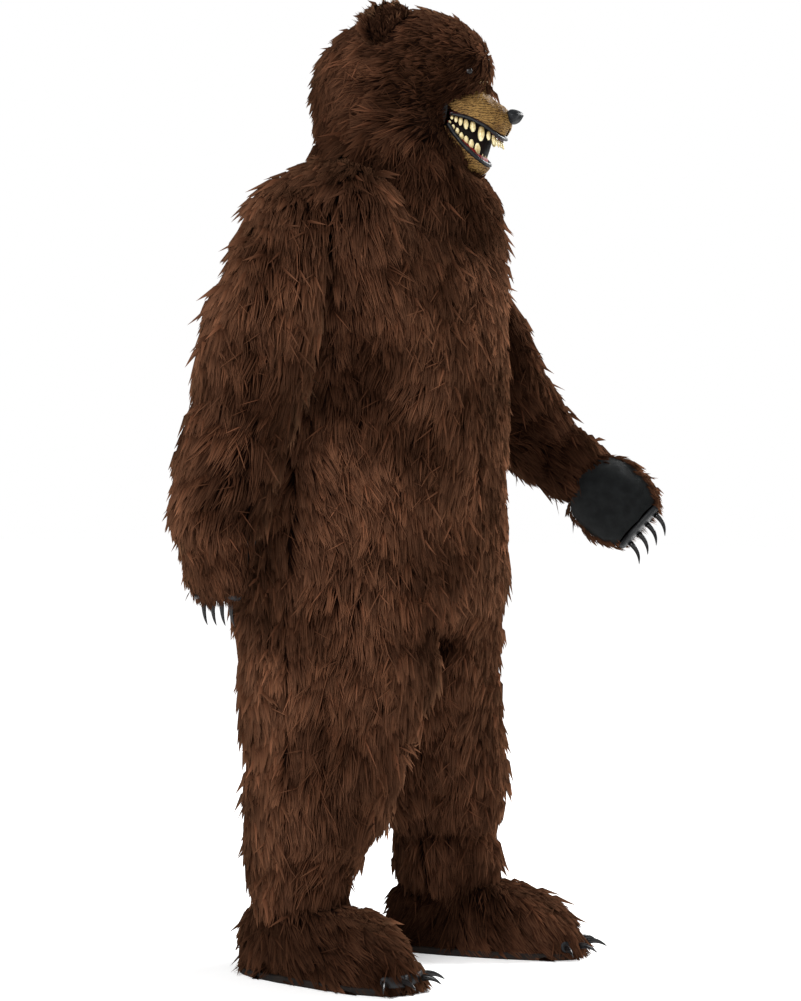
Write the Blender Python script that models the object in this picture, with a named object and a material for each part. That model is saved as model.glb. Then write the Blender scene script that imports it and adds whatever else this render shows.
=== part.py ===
"""Bear costume, worn pose: fur jumpsuit, mask head, clawed mitts and shoe covers.

Metres, +Z up. The figure faces -Y, its right side is -X. The origin is where the shoulders carry
the costume, on the torso's axis; every table below gives heights above the floor, and one empty
brings them down to that frame. Each cloth piece is a wall (pile and backing) whose outer face is
the mean reach of the fur, and neighbouring pieces keep a seam gap.
"""

import math

import bmesh
import bpy
import numpy as np
from mathutils import Vector
from mathutils.bvhtree import BVHTree

SHOULDER_HEIGHT = 1.50
SEAM_GAP = 0.0003
FUR_WALL = 0.012
LATEX_WALL = 0.0035
PALM_WALL = 0.003
SOLE_THICKNESS = 0.014

# Heights of the jumpsuit's main levels
HEM_HEIGHT = 0.145
CROTCH_LOW = 0.590
CROTCH_HIGH = 0.740
UNDERARM_HEIGHT = 1.235
SHOULDER_TIP_HALF = 0.280
SHOULDER_TIP_HEIGHT = 1.518
NECK_HALF = 0.105
NECK_SIDE_HEIGHT = 1.600
NECK_FRONT = (-0.125, 1.530)
NECK_BACK = (0.070, 1.583)
NECKLINE_SHARE = 0.42
ARMHOLE_BOW = 0.085
CHEST_FULLNESS = 0.78
LEG_SQUARENESS = 0.60

# The head turns a little to the figure's left about this upright line
HEAD_TURN = math.radians(10)
HEAD_PIVOT_Y = -0.05

FUR = {"color": (0.055, 0.026, 0.016), "roughness": 0.85}
TAN = {"color": (0.36, 0.20, 0.07), "roughness": 0.55}
CHARCOAL = {"color": (0.030, 0.036, 0.042), "roughness": 0.40}
BLACK_CLOTH = {"color": (0.012, 0.014, 0.016), "roughness": 0.80}
BLACK_GLOSS = {"color": (0.008, 0.008, 0.009), "roughness": 0.15}
IVORY = {"color": (0.70, 0.60, 0.36), "roughness": 0.35}
FLESH = {"color": (0.22, 0.020, 0.018), "roughness": 0.35}
RUBBER = {"color": (0.010, 0.010, 0.011), "roughness": 0.60}

# Jumpsuit body, one row per height: half width and reach to front and back
BODY = [
    # height, half_width, front, back
    (0.600, 0.320, 0.232, 0.232),
    (0.700, 0.322, 0.236, 0.238),
    (0.800, 0.316, 0.244, 0.244),
    (0.880, 0.305, 0.250, 0.243),
    (0.950, 0.296, 0.252, 0.240),
    (1.040, 0.290, 0.254, 0.237),
    (1.140, 0.286, 0.256, 0.234),
    (1.235, 0.286, 0.256, 0.228),
]

# Legs, one row per height: centre and half sizes; the left foot stands forward of the right
RIGHT_LEG = [
    # height, centre_x, centre_y, half_x, half_y
    (0.145, -0.196, 0.045, 0.086, 0.092),
    (0.175, -0.196, 0.040, 0.093, 0.102),
    (0.205, -0.195, 0.036, 0.098, 0.108),
    (0.260, -0.193, 0.027, 0.112, 0.124),
    (0.330, -0.189, 0.003, 0.130, 0.146),
    (0.410, -0.183, -0.004, 0.143, 0.160),
    (0.485, -0.177, -0.008, 0.152, 0.168),
    (0.560, -0.170, -0.006, 0.158, 0.182),
    (0.620, -0.163, -0.002, 0.160, 0.194),
    (0.720, -0.163, 0.000, 0.160, 0.206),
]
LEFT_LEG = [
    # height, centre_x, centre_y, half_x, half_y
    (0.145, 0.198, -0.070, 0.092, 0.098),
    (0.175, 0.198, -0.068, 0.100, 0.110),
    (0.205, 0.197, -0.066, 0.104, 0.113),
    (0.260, 0.194, -0.060, 0.104, 0.112),
    (0.330, 0.190, -0.052, 0.124, 0.140),
    (0.410, 0.184, -0.038, 0.139, 0.158),
    (0.485, 0.178, -0.022, 0.150, 0.166),
    (0.560, 0.170, -0.010, 0.158, 0.180),
    (0.620, 0.163, -0.004, 0.160, 0.194),
    (0.720, 0.163, 0.000, 0.160, 0.206),
]

# Soft troughs where the pile parts over a fold, and round swells between them
TROUGHS = [
    # side, turn from front (degrees), height, spread_turn, spread_height, depth
    (-1, 58, 1.340, 14, 0.035, 0.014),
    (-1, 40, 1.150, 10, 0.060, 0.013),
    (-1, 44, 0.960, 11, 0.070, 0.015),
    (-1, 20, 0.860, 9, 0.080, 0.009),
    (-1, 62, 0.560, 15, 0.050, 0.015),
    (-1, 118, 0.640, 16, 0.050, 0.012),
    (-1, 150, 0.960, 14, 0.080, 0.012),
    (1, 50, 1.180, 12, 0.060, 0.012),
    (1, 38, 0.930, 12, 0.070, 0.013),
    (1, 66, 0.540, 15, 0.050, 0.013),
    (1, 120, 0.660, 16, 0.060, 0.012),
    (1, 148, 1.080, 13, 0.080, 0.012),
    (-1, 90, 0.250, 60, 0.014, 0.008),
    (1, 70, 0.262, 70, 0.013, 0.012),
]

# Sleeves, one row per ring: its point nearest the body, its outer point, and its depth
RIGHT_SLEEVE = [
    # inner_x, inner_height, outer_x, outer_height, centre_y, half_depth, reach
    (-0.294, 1.200, -0.328, 1.484, 0.008, 0.108, 0),
    (-0.296, 1.150, -0.376, 1.418, 0.015, 0.109, 0),
    (-0.299, 1.108, -0.432, 1.338, 0.025, 0.108, 0),
    (-0.302, 1.070, -0.470, 1.240, 0.036, 0.105, 0),
    (-0.306, 1.038, -0.484, 1.150, 0.046, 0.103, 0),
    (-0.317, 1.012, -0.490, 1.072, 0.053, 0.093, 0),
    (-0.320, 0.990, -0.506, 1.022, 0.057, 0.106, 0),
    (-0.334, 0.968, -0.500, 0.986, 0.061, 0.093, 0),
    (-0.331, 0.944, -0.514, 0.956, 0.065, 0.104, 0),
    (-0.344, 0.920, -0.509, 0.926, 0.069, 0.092, 0),
    (-0.342, 0.902, -0.517, 0.905, 0.072, 0.098, 0),
    (-0.350, 0.886, -0.510, 0.886, 0.074, 0.088, 0),
]
LEFT_SLEEVE = [
    # inner_x, inner_height, outer_x, outer_height, centre_y, half_depth, reach
    (0.294, 1.200, 0.328, 1.484, -0.008, 0.108, 0),
    (0.296, 1.150, 0.376, 1.418, -0.024, 0.107, 4),
    (0.300, 1.120, 0.440, 1.340, -0.044, 0.104, 8),
    (0.312, 1.110, 0.476, 1.250, -0.068, 0.098, 14),
    (0.332, 1.095, 0.500, 1.175, -0.092, 0.094, 22),
    (0.352, 1.082, 0.510, 1.112, -0.118, 0.084, 33),
    (0.362, 1.054, 0.520, 1.068, -0.145, 0.088, 42),
    (0.378, 1.030, 0.522, 1.032, -0.172, 0.075, 47),
    (0.386, 1.008, 0.534, 1.008, -0.202, 0.080, 50),
    (0.402, 0.984, 0.536, 0.984, -0.228, 0.066, 51),
    (0.414, 0.966, 0.542, 0.966, -0.254, 0.063, 52),
]

# Head rings from the bib's edge up and forward to the face opening, in the head's own frame:
# throat point, side point with the half width there, crown point
HOOD = [
    # throat_f, throat_h, side_f, side_h, half_width, crown_f, crown_h, wall
    (0.219, 1.470, 0.030, 1.604, 0.172, -0.150, 1.591, 0.012),
    (0.214, 1.497, 0.028, 1.630, 0.158, -0.144, 1.634, 0.012),
    (0.207, 1.518, 0.022, 1.668, 0.145, -0.150, 1.690, 0.012),
    (0.202, 1.529, 0.014, 1.704, 0.148, -0.146, 1.755, 0.012),
    (0.196, 1.535, 0.012, 1.736, 0.152, -0.112, 1.815, 0.010),
    (0.191, 1.540, 0.020, 1.762, 0.153, -0.050, 1.858, 0.008),
    (0.187, 1.543, 0.036, 1.774, 0.151, 0.008, 1.878, 0.007),
    (0.184, 1.545, 0.052, 1.778, 0.148, 0.046, 1.884, 0.006),
    (0.181, 1.547, 0.068, 1.774, 0.142, 0.104, 1.880, 0.005),
    (0.179, 1.549, 0.088, 1.758, 0.128, 0.156, 1.856, 0.005),
    (0.177, 1.550, 0.106, 1.738, 0.110, 0.190, 1.818, 0.004),
    (0.175, 1.552, 0.120, 1.714, 0.090, 0.208, 1.776, 0.004),
    (0.173, 1.554, 0.130, 1.690, 0.073, 0.200, 1.744, 0.004),
]
FACE_RING_CORNER = 0.56
BIB_TOP = 1.540
BIB_DRAPE = 0.0510
BIB_TURN_SHARES = (0.0, 0.3, 0.7)

# Muzzle rows from the face opening to the nose, and the line of the lower lip
UPPER_LIP = [
    # share from front to corner, forward, half_width, height
    (0.00, 0.236, 0.000, 1.631),
    (0.15, 0.234, 0.019, 1.632),
    (0.30, 0.226, 0.034, 1.639),
    (0.45, 0.212, 0.044, 1.650),
    (0.65, 0.188, 0.051, 1.664),
    (0.85, 0.160, 0.056, 1.674),
    (1.00, 0.134, 0.058, 1.679),
]
LOWER_LIP = [
    # share from front to corner, forward, half_width, height
    (0.00, 0.203, 0.000, 1.578),
    (0.15, 0.200, 0.017, 1.579),
    (0.30, 0.193, 0.031, 1.585),
    (0.45, 0.180, 0.042, 1.597),
    (0.65, 0.162, 0.049, 1.616),
    (0.85, 0.144, 0.054, 1.640),
    (1.00, 0.132, 0.057, 1.662),
]
MUZZLE = [
    # lip_f, lip_h, half_width, crown_f, crown_h
    (0.138, 1.679, 0.0585, 0.196, 1.722),
    (0.170, 1.671, 0.0550, 0.208, 1.707),
    (0.190, 1.663, 0.0505, 0.222, 1.697),
    (0.210, 1.651, 0.0440, 0.236, 1.688),
    (0.224, 1.640, 0.0340, 0.245, 1.678),
    (0.233, 1.633, 0.0200, 0.249, 1.662),
    (0.237, 1.631, 0.0060, 0.246, 1.648),
]

# Teeth of one side from the front to the back: share along the lip and length
UPPER_TEETH = [
    (0.060, 0.012), (0.140, 0.012), (0.220, 0.013), (0.300, 0.014), (0.390, 0.013),
    (0.530, 0.026), (0.675, 0.020), (0.775, 0.019), (0.860, 0.016), (0.940, 0.007),
]
LOWER_TEETH = [
    (0.060, 0.011), (0.165, 0.012), (0.310, 0.025), (0.460, 0.016),
    (0.585, 0.015), (0.705, 0.013), (0.820, 0.013), (0.930, 0.008),
]

FOOT_LENGTH = 0.405
FOOT_HALF_WIDTH = 0.083
FOOT_SPLAY = math.radians(10)
TOE_FACETS = 7
TOE_SPREAD = math.radians(27)


def remove_all():
    """Start from an empty scene."""
    for item in list(bpy.data.objects):
        bpy.data.objects.remove(item)


def material(name, finish):
    """A plain Principled material for one piece."""
    made = bpy.data.materials.new(name)
    made.use_nodes = True
    shader = made.node_tree.nodes["Principled BSDF"]
    shader.inputs["Base Color"].default_value = (*finish["color"], 1.0)
    shader.inputs["Roughness"].default_value = finish["roughness"]
    shader.inputs["Metallic"].default_value = 0.0
    return made


def signed_volume(points, faces):
    """Volume inside a closed list of faces; negative when they point inwards."""
    total = 0.0
    for face in faces:
        first = points[face[0]]
        for second, third in zip(face[1:-1], face[2:]):
            total += np.dot(first, np.cross(points[second], points[third]))
    return total


def add_solid(name, points, faces, finish, base):
    """One closed solid as a named object under the base empty."""
    points = np.asarray(points, float)
    if signed_volume(points, faces) < 0.0:
        faces = [tuple(reversed(face)) for face in faces]
    mesh = bpy.data.meshes.new(name)
    mesh.from_pydata([tuple(point) for point in points], [], faces)
    mesh.materials.append(material(name, finish))
    shaper = bmesh.new()
    shaper.from_mesh(mesh)
    bmesh.ops.triangulate(shaper, faces=shaper.faces)
    shaper.to_mesh(mesh)
    shaper.free()
    mesh.shade_smooth()
    mesh.set_sharp_from_angle(angle=math.radians(40))
    made = bpy.data.objects.new(name, mesh)
    bpy.context.scene.collection.objects.link(made)
    made.parent = base
    return made


def unit(vectors):
    """Vectors of length one along the last axis."""
    vectors = np.asarray(vectors, float)
    return vectors / np.maximum(np.linalg.norm(vectors, axis=-1, keepdims=True), 1e-12)


def smooth_step(value, low, high):
    """Zero below low, one above high, and a smooth rise between them."""
    share = np.clip((value - low) / (high - low), 0.0, 1.0)
    return share * share * (3.0 - 2.0 * share)


def read_rows(rows, at):
    """Values of a table at one place, on a smooth curve through its rows."""
    table = np.asarray(rows, float)
    keys = table[:, 0]
    at = float(np.clip(at, keys[0], keys[-1]))
    index = int(np.clip(np.searchsorted(keys, at) - 1, 0, len(keys) - 2))
    before = table[max(index - 1, 0)]
    start, end = table[index], table[index + 1]
    after = table[min(index + 2, len(keys) - 1)]
    span = end[0] - start[0]
    share = (at - start[0]) / span
    slope_start = (end - before) / max(end[0] - before[0], 1e-9) * span
    slope_end = (after - start) / max(after[0] - start[0], 1e-9) * span
    square, cube = share ** 2, share ** 3
    return ((2 * cube - 3 * square + 1) * start + (cube - 2 * square + share) * slope_start
            + (3 * square - 2 * cube) * end + (cube - square) * slope_end)[1:]


def grid_normals(grid, around):
    """Normals of a grid of points; around says that its columns close into a ring."""
    if around:
        along_columns = np.roll(grid, -1, axis=1) - np.roll(grid, 1, axis=1)
    else:
        along_columns = np.gradient(grid, axis=1)
    return unit(np.cross(along_columns, np.gradient(grid, axis=0)))


def wall_faces(rows, columns, around):
    """Faces of a wall whose outer points come first and inner points after them."""
    inner = rows * columns
    faces = []

    def at(row, column, side):
        return row * columns + column % columns + (inner if side else 0)

    last = columns if around else columns - 1
    for row in range(rows - 1):
        for column in range(last):
            outer = (at(row, column, 0), at(row, column + 1, 0),
                     at(row + 1, column + 1, 0), at(row + 1, column, 0))
            faces.append(outer)
            faces.append(tuple(reversed([corner + inner for corner in outer])))
    for column in range(last):
        faces.append((at(0, column + 1, 0), at(0, column, 0), at(0, column, 1), at(0, column + 1, 1)))
        faces.append((at(rows - 1, column, 0), at(rows - 1, column + 1, 0),
                      at(rows - 1, column + 1, 1), at(rows - 1, column, 1)))
    if not around:
        for row in range(rows - 1):
            faces.append((at(row, 0, 0), at(row + 1, 0, 0), at(row + 1, 0, 1), at(row, 0, 1)))
            faces.append((at(row + 1, columns - 1, 0), at(row, columns - 1, 0),
                          at(row, columns - 1, 1), at(row + 1, columns - 1, 1)))
    return faces


def add_wall(name, outer, inner, around, finish, base):
    """A wall between an outer and an inner grid of points."""
    rows, columns = outer.shape[:2]
    points = np.concatenate([outer.reshape(-1, 3), inner.reshape(-1, 3)])
    return add_solid(name, points, wall_faces(rows, columns, around), finish, base)


def cap_faces(sides, first, ladder):
    """Faces that close a ring: one face, or rungs between its first half and its second."""
    if not ladder:
        return [tuple(range(first, first + sides))]
    last = first + sides - 1
    return [(first + step, first + step + 1, last - step - 1, last - step)
            for step in range(sides // 2 - 1)]


def add_loft(name, rings, finish, base, ladder=False):
    """A filled solid through closed rings, capped at both ends."""
    rings = np.asarray(rings, float)
    count, sides = rings.shape[:2]
    faces = [tuple(reversed(face)) for face in cap_faces(sides, 0, ladder)]
    for ring in range(count - 1):
        for side in range(sides):
            after = (side + 1) % sides
            faces.append((ring * sides + side, ring * sides + after,
                          (ring + 1) * sides + after, (ring + 1) * sides + side))
    faces += cap_faces(sides, (count - 1) * sides, ladder)
    return add_solid(name, rings.reshape(-1, 3), faces, finish, base)


def draw_back(grid, edge_columns, gap):
    """Move the named edge columns of a grid towards its inside by a gap."""
    moved = grid.copy()
    for column in edge_columns:
        beside = 1 if column == 0 else grid.shape[1] - 2
        moved[:, column] += unit(grid[:, beside] - grid[:, column]) * gap
    return moved


def move_to_centre(ring, distance):
    """Points of a ring moved straight towards its centre."""
    return ring + unit(ring.mean(axis=0) - ring) * distance


# Jumpsuit: each half is one grid, its columns from the front seam round the side to the back seam

SIDE_COLUMN = 8
ARMHOLE_ROWS = 8
BODY_ROUNDNESS = (0.86, 0.92)
SIDE_NUDGE = 1e-6
LEG_SQUARE_FROM = 0.42
BOW_FROM = 0.55
SHOULDER_SLOPE = 1.5
LOWER_HEIGHTS = (
    HEM_HEIGHT, 0.175, 0.205, 0.235, 0.262, 0.290, 0.335, 0.400, 0.470, 0.540, CROTCH_LOW, 0.625,
    0.660, 0.700, CROTCH_HIGH, 0.780, 0.835, 0.900, 0.970, 1.040, 1.110, 1.175, UNDERARM_HEIGHT,
)


def body_section(side, height, turn):
    """Point of the body's oval at a turn from the front, for one half."""
    half_width, front, back = read_rows(BODY, height)
    depth = front if turn < math.pi / 2 else back
    across = abs(math.sin(turn)) ** BODY_ROUNDNESS[0]
    along = math.copysign(abs(math.cos(turn)) ** BODY_ROUNDNESS[1], math.cos(turn))
    return np.array([side * half_width * across, -depth * along, height])


def leg_section(side, height, turn):
    """Point of a leg's ring; the seams at the ends of the turn meet on the inner side."""
    centre_x, centre_y, half_x, half_y = read_rows(LEFT_LEG if side > 0 else RIGHT_LEG, height)
    round_turn = 2.0 * turn - math.pi / 2
    across, along = math.sin(round_turn), math.cos(round_turn)
    inner_half = round_turn < 0.0
    fullness = 1.0 - LEG_SQUARENESS * smooth_step(height, LEG_SQUARE_FROM, CROTCH_LOW) * inner_half
    across = math.copysign(abs(across) ** fullness, across)
    along = math.copysign(abs(along) ** fullness, along)
    return np.array([centre_x + side * half_x * across, centre_y - half_y * along, height])


def trough_depth(side, turn, height):
    """How far the fur sinks at one place of the body or a leg."""
    depth = 0.0
    for trough_side, at_turn, at_height, spread_turn, spread_height, amount in TROUGHS:
        if trough_side == side:
            away = ((math.degrees(turn) - at_turn) / spread_turn) ** 2
            away += ((height - at_height) / spread_height) ** 2
            depth += amount * math.exp(-away)
    return depth


def top_edge(side, turn):
    """Point of the top edge: neckline from the centre, then the shoulder seam to its tip."""
    front = turn < math.pi / 2
    share = turn / (math.pi / 2) if front else (math.pi - turn) / (math.pi / 2)
    start_y, start_height = NECK_FRONT if front else NECK_BACK
    if share <= NECKLINE_SHARE:
        bend = share / NECKLINE_SHARE * math.pi / 2
        return np.array([side * NECK_HALF * math.sin(bend), start_y * math.cos(bend),
                         NECK_SIDE_HEIGHT + (start_height - NECK_SIDE_HEIGHT) * math.cos(bend)])
    along = (share - NECKLINE_SHARE) / (1.0 - NECKLINE_SHARE)
    out = NECK_HALF + (SHOULDER_TIP_HALF - NECK_HALF) * along
    drop = (NECK_SIDE_HEIGHT - SHOULDER_TIP_HEIGHT) * along ** SHOULDER_SLOPE
    return np.array([side * out, 0.0, NECK_SIDE_HEIGHT - drop])


def yoke_point(side, turn, rise, is_front):
    """Point above the underarm: it rounds over from the chest or back to the top edge."""
    low = body_section(side, UNDERARM_HEIGHT, turn)
    high = top_edge(side, turn)
    round_over = rise * math.pi / 2
    point = high + (low - high) * math.cos(round_over) ** (CHEST_FULLNESS if is_front else 1.0)
    point[2] = low[2] + (high[2] - low[2]) * math.sin(round_over)
    near_side = smooth_step(math.sin(turn), BOW_FROM, 1.0)
    bow = ARMHOLE_BOW * math.sin(math.pi * rise) * near_side
    point[1] += -bow if is_front else bow
    return point


def half_grid(side, is_front):
    """Outer points of a front or back panel: rows from the hem up, columns from its centre seam."""
    turns = np.linspace(0.0, math.pi / 2, SIDE_COLUMN + 1)
    if not is_front:
        turns = math.pi - turns
    turns[-1] += -SIDE_NUDGE if is_front else SIDE_NUDGE
    rows = []
    for height in LOWER_HEIGHTS:
        blend = smooth_step(height, CROTCH_LOW, CROTCH_HIGH)
        rows.append([body_section(side, height, turn) * blend
                     + leg_section(side, height, turn) * (1.0 - blend) for turn in turns])
    for step in range(1, ARMHOLE_ROWS + 1):
        rows.append([yoke_point(side, turn, step / ARMHOLE_ROWS, is_front) for turn in turns])
    return np.array(rows), turns


def share_normals(front, back, front_normals, back_normals):
    """Give points that meet across a seam one normal, so that the two walls meet too."""
    meets = np.linalg.norm(front - back, axis=-1) < SEAM_GAP
    mean = unit(front_normals + back_normals)
    front_normals[meets] = mean[meets]
    back_normals[meets] = mean[meets]


def panel_grids(side):
    """Outer and inner points of the front and back panel of one half."""
    outers, normals, turns = {}, {}, {}
    for name, is_front in (("front", True), ("back", False)):
        outers[name], turns[name] = half_grid(side, is_front)
        found = grid_normals(outers[name], False)
        waist_row = len(LOWER_HEIGHTS) - 2
        found *= np.sign(found[waist_row, -1, 0] * side)
        crosses_middle = found[:, 0, 0] * side > 0.0
        found[:, 0, 0] = np.where(crosses_middle, 0.0, found[:, 0, 0])
        normals[name] = unit(found)
    for place in (np.s_[:, 0], np.s_[:, -1], np.s_[-1, :]):
        share_normals(outers["front"][place], outers["back"][place],
                      normals["front"][place], normals["back"][place])
    grids = {}
    for name, outer in outers.items():
        for row in range(len(LOWER_HEIGHTS) + 1):
            for column in range(1, outer.shape[1]):
                depth = trough_depth(side, turns[name][column], outer[row, column, 2])
                outer[row, column] -= normals[name][row, column] * depth
        inner = outer - normals[name] * FUR_WALL
        inner[0, :, 2] = outer[0, :, 2]
        grids[name] = (outer, inner)
    return grids


def add_jumpsuit(base):
    """Front and back panels, shoulder to ankle, and the zip over the centre back seam."""
    grids = {}
    for side, word in ((-1, "right"), (1, "left")):
        for name, (outer, inner) in panel_grids(side).items():
            edges = (0, outer.shape[1] - 1)
            outer_cut = draw_back(outer, edges, SEAM_GAP / 2)
            inner_cut = draw_back(inner, edges, SEAM_GAP / 2)
            top = slice(-1, None)
            outer_cut[top] += unit(outer_cut[-2] - outer_cut[-1])[None] * SEAM_GAP / 2
            inner_cut[top] += unit(inner_cut[-2] - inner_cut[-1])[None] * SEAM_GAP / 2
            add_wall(f"{name}_{word}", outer_cut, inner_cut, False, FUR, base)
            grids[name, side] = outer
    return grids


ZIP_HALF_WIDTH = 0.014
ZIP_THICKNESS = 0.003
ZIP_FIRST_ROW = 15
ZIP_LAST_ROW = -2
SLIDER_ROW = -4
SLIDER_RINGS = [
    # place along the zip, half_width, height: the tab first, then the slider's body
    (-0.030, 0.0030, 0.0022),
    (-0.008, 0.0035, 0.0022),
    (-0.006, 0.0060, 0.0065),
    (0.008, 0.0070, 0.0065),
]


def add_zip(grids, base):
    """Zip tape and teeth along the centre back, and the slider with its tab, just clear of it."""
    spine = grids["back", 1][ZIP_FIRST_ROW:ZIP_LAST_ROW, 0].copy()
    spine[:, 0] = 0.0
    across = np.array([1.0, 0.0, 0.0])
    outward = np.cross(unit(np.gradient(spine, axis=0)), across)
    outward = unit(outward * np.sign(outward[:, 1:2]))
    rings = []
    for point, out in zip(spine, outward):
        low = point + out * SEAM_GAP * 2
        high = low + out * ZIP_THICKNESS
        rings.append([low - across * ZIP_HALF_WIDTH, low + across * ZIP_HALF_WIDTH,
                      high + across * ZIP_HALF_WIDTH, high - across * ZIP_HALF_WIDTH])
    add_loft("back_zip", rings, BLACK_CLOTH, base)
    start = len(spine) + SLIDER_ROW
    low, high = spine[start], spine[start + 1]
    out = unit(outward[start] + outward[start + 1])
    run = unit(high - low)
    lift = ZIP_THICKNESS + SEAM_GAP * 4
    slider = []
    for place, half_width, height in SLIDER_RINGS:
        seat = (low + high) / 2 + run * place + out * lift
        slider.append([seat - across * half_width, seat + across * half_width,
                       seat + across * half_width + out * height,
                       seat - across * half_width + out * height])
    add_loft("zip_slider", slider, BLACK_GLOSS, base)


# Sleeves: each ring starts at the underarm, passes the front and returns by the back

SLEEVE_ROWS = {-1: RIGHT_SLEEVE, 1: LEFT_SLEEVE}
SLEEVE_HEAD_STEP = 0.025
SLEEVE_HEAD_SHARE = 0.3


def armhole_ring(grids, side):
    """The armhole's own points, in the sleeve's order, a seam gap outside the body."""
    first = len(LOWER_HEIGHTS) - 1
    front = grids["front", side][first:, -1]
    back = grids["back", side][first:, -1]
    ring = np.concatenate([front, back[::-1][1:-1]])
    return ring + np.array([side * SEAM_GAP, 0.0, 0.0])


def sleeve_ring(row, count):
    """An oval ring between its inner and outer points, its depth leaning forward by reach."""
    inner_x, inner_height, outer_x, outer_height, centre_y, half_depth, reach = row
    inner = np.array([inner_x, centre_y, inner_height])
    outer = np.array([outer_x, centre_y, outer_height])
    lean = math.radians(reach)
    front = np.array([0.0, -math.cos(lean), math.sin(lean)]) * half_depth
    centre, toward = (inner + outer) / 2, (inner - outer) / 2
    turns = np.linspace(0.0, 2.0 * math.pi, count, endpoint=False)
    return np.array([centre + toward * math.cos(turn) + front * math.sin(turn) for turn in turns])


def sleeve_grid(grids, side):
    """Outer points of a sleeve from the armhole to the cuff."""
    first = armhole_ring(grids, side)
    rings = [first] + [sleeve_ring(row, len(first)) for row in SLEEVE_ROWS[side]]
    beside = first + np.array([side * SLEEVE_HEAD_STEP, 0.0, 0.0])
    rings[1] = rings[1] * (1.0 - SLEEVE_HEAD_SHARE) + beside * SLEEVE_HEAD_SHARE
    return np.array(rings)


def tube_walls(outer, thickness):
    """Inner points of a tube, its end rings kept in their own planes."""
    normals = grid_normals(outer, True)
    centre = outer.mean(axis=1, keepdims=True)
    if np.sum(normals * (outer - centre)) < 0.0:
        normals = -normals
    inner = outer - normals * thickness
    inner[0] = move_to_centre(outer[0], thickness)
    inner[-1] = move_to_centre(outer[-1], thickness)
    return inner


def add_sleeves(grids, base):
    """Both sleeves; returns the cuff ring of each."""
    cuffs = {}
    for side, word in ((-1, "right"), (1, "left")):
        outer = sleeve_grid(grids, side)
        add_wall(f"sleeve_{word}", outer, tube_walls(outer, FUR_WALL), True, FUR, base)
        cuffs[side] = outer[-1]
    return cuffs


# Mitts: a tube from the cuff to the finger ends, its back half fur and its other half palm cloth

MITT_ROWS = [
    # share of length, half_width, half_thick
    (0.14, 0.082, 0.070),
    (0.36, 0.086, 0.058),
    (0.60, 0.086, 0.048),
    (0.82, 0.080, 0.038),
    (1.00, 0.064, 0.028),
]
MITT_SIDES = 16
MITT_MOUTH_SHARE = 0.93
MITT_FUR_WALL = 0.0096
PAD_LENGTH = 0.014
PAD_TAPER = 0.92
PAD_SWELL = 0.06
CLAW_LENGTH = 0.054
CLAW_RADIUS = 0.0062
CLAW_SIDES = 7
CLAW_RINGS = 5
CLAW_BEND = math.radians(62)
CLAW_OVAL = (1.15, 0.85)
CLAW_TAPER = 0.7
CLAW_TIP = 0.0004
MITT_CLAW_PITCH = 0.027


def add_claw(name, seat, axis, curl, length, radius, base):
    """A hooked claw: its flat base lies on the seat, and it bends from axis towards curl."""
    axis, curl = unit(axis), np.asarray(curl, float)
    curl = unit(curl - axis * np.dot(curl, axis))
    sideways = np.cross(axis, curl)
    rings = []
    point = np.array(seat, float)
    for ring in range(CLAW_RINGS):
        share = ring / (CLAW_RINGS - 1)
        turned = CLAW_BEND * share
        ahead = axis * math.cos(turned) + curl * math.sin(turned)
        size = radius * (1.0 - share) ** CLAW_TAPER + CLAW_TIP
        tall = (curl * math.cos(turned) - axis * math.sin(turned)) * size * CLAW_OVAL[0]
        wide = sideways * size * CLAW_OVAL[1]
        rings.append([point + tall * math.cos(angle) + wide * math.sin(angle)
                      for angle in np.linspace(0, 2 * math.pi, CLAW_SIDES, endpoint=False)])
        point = point + ahead * length / (CLAW_RINGS - 1)
    add_loft(name, rings, BLACK_GLOSS, base)


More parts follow.
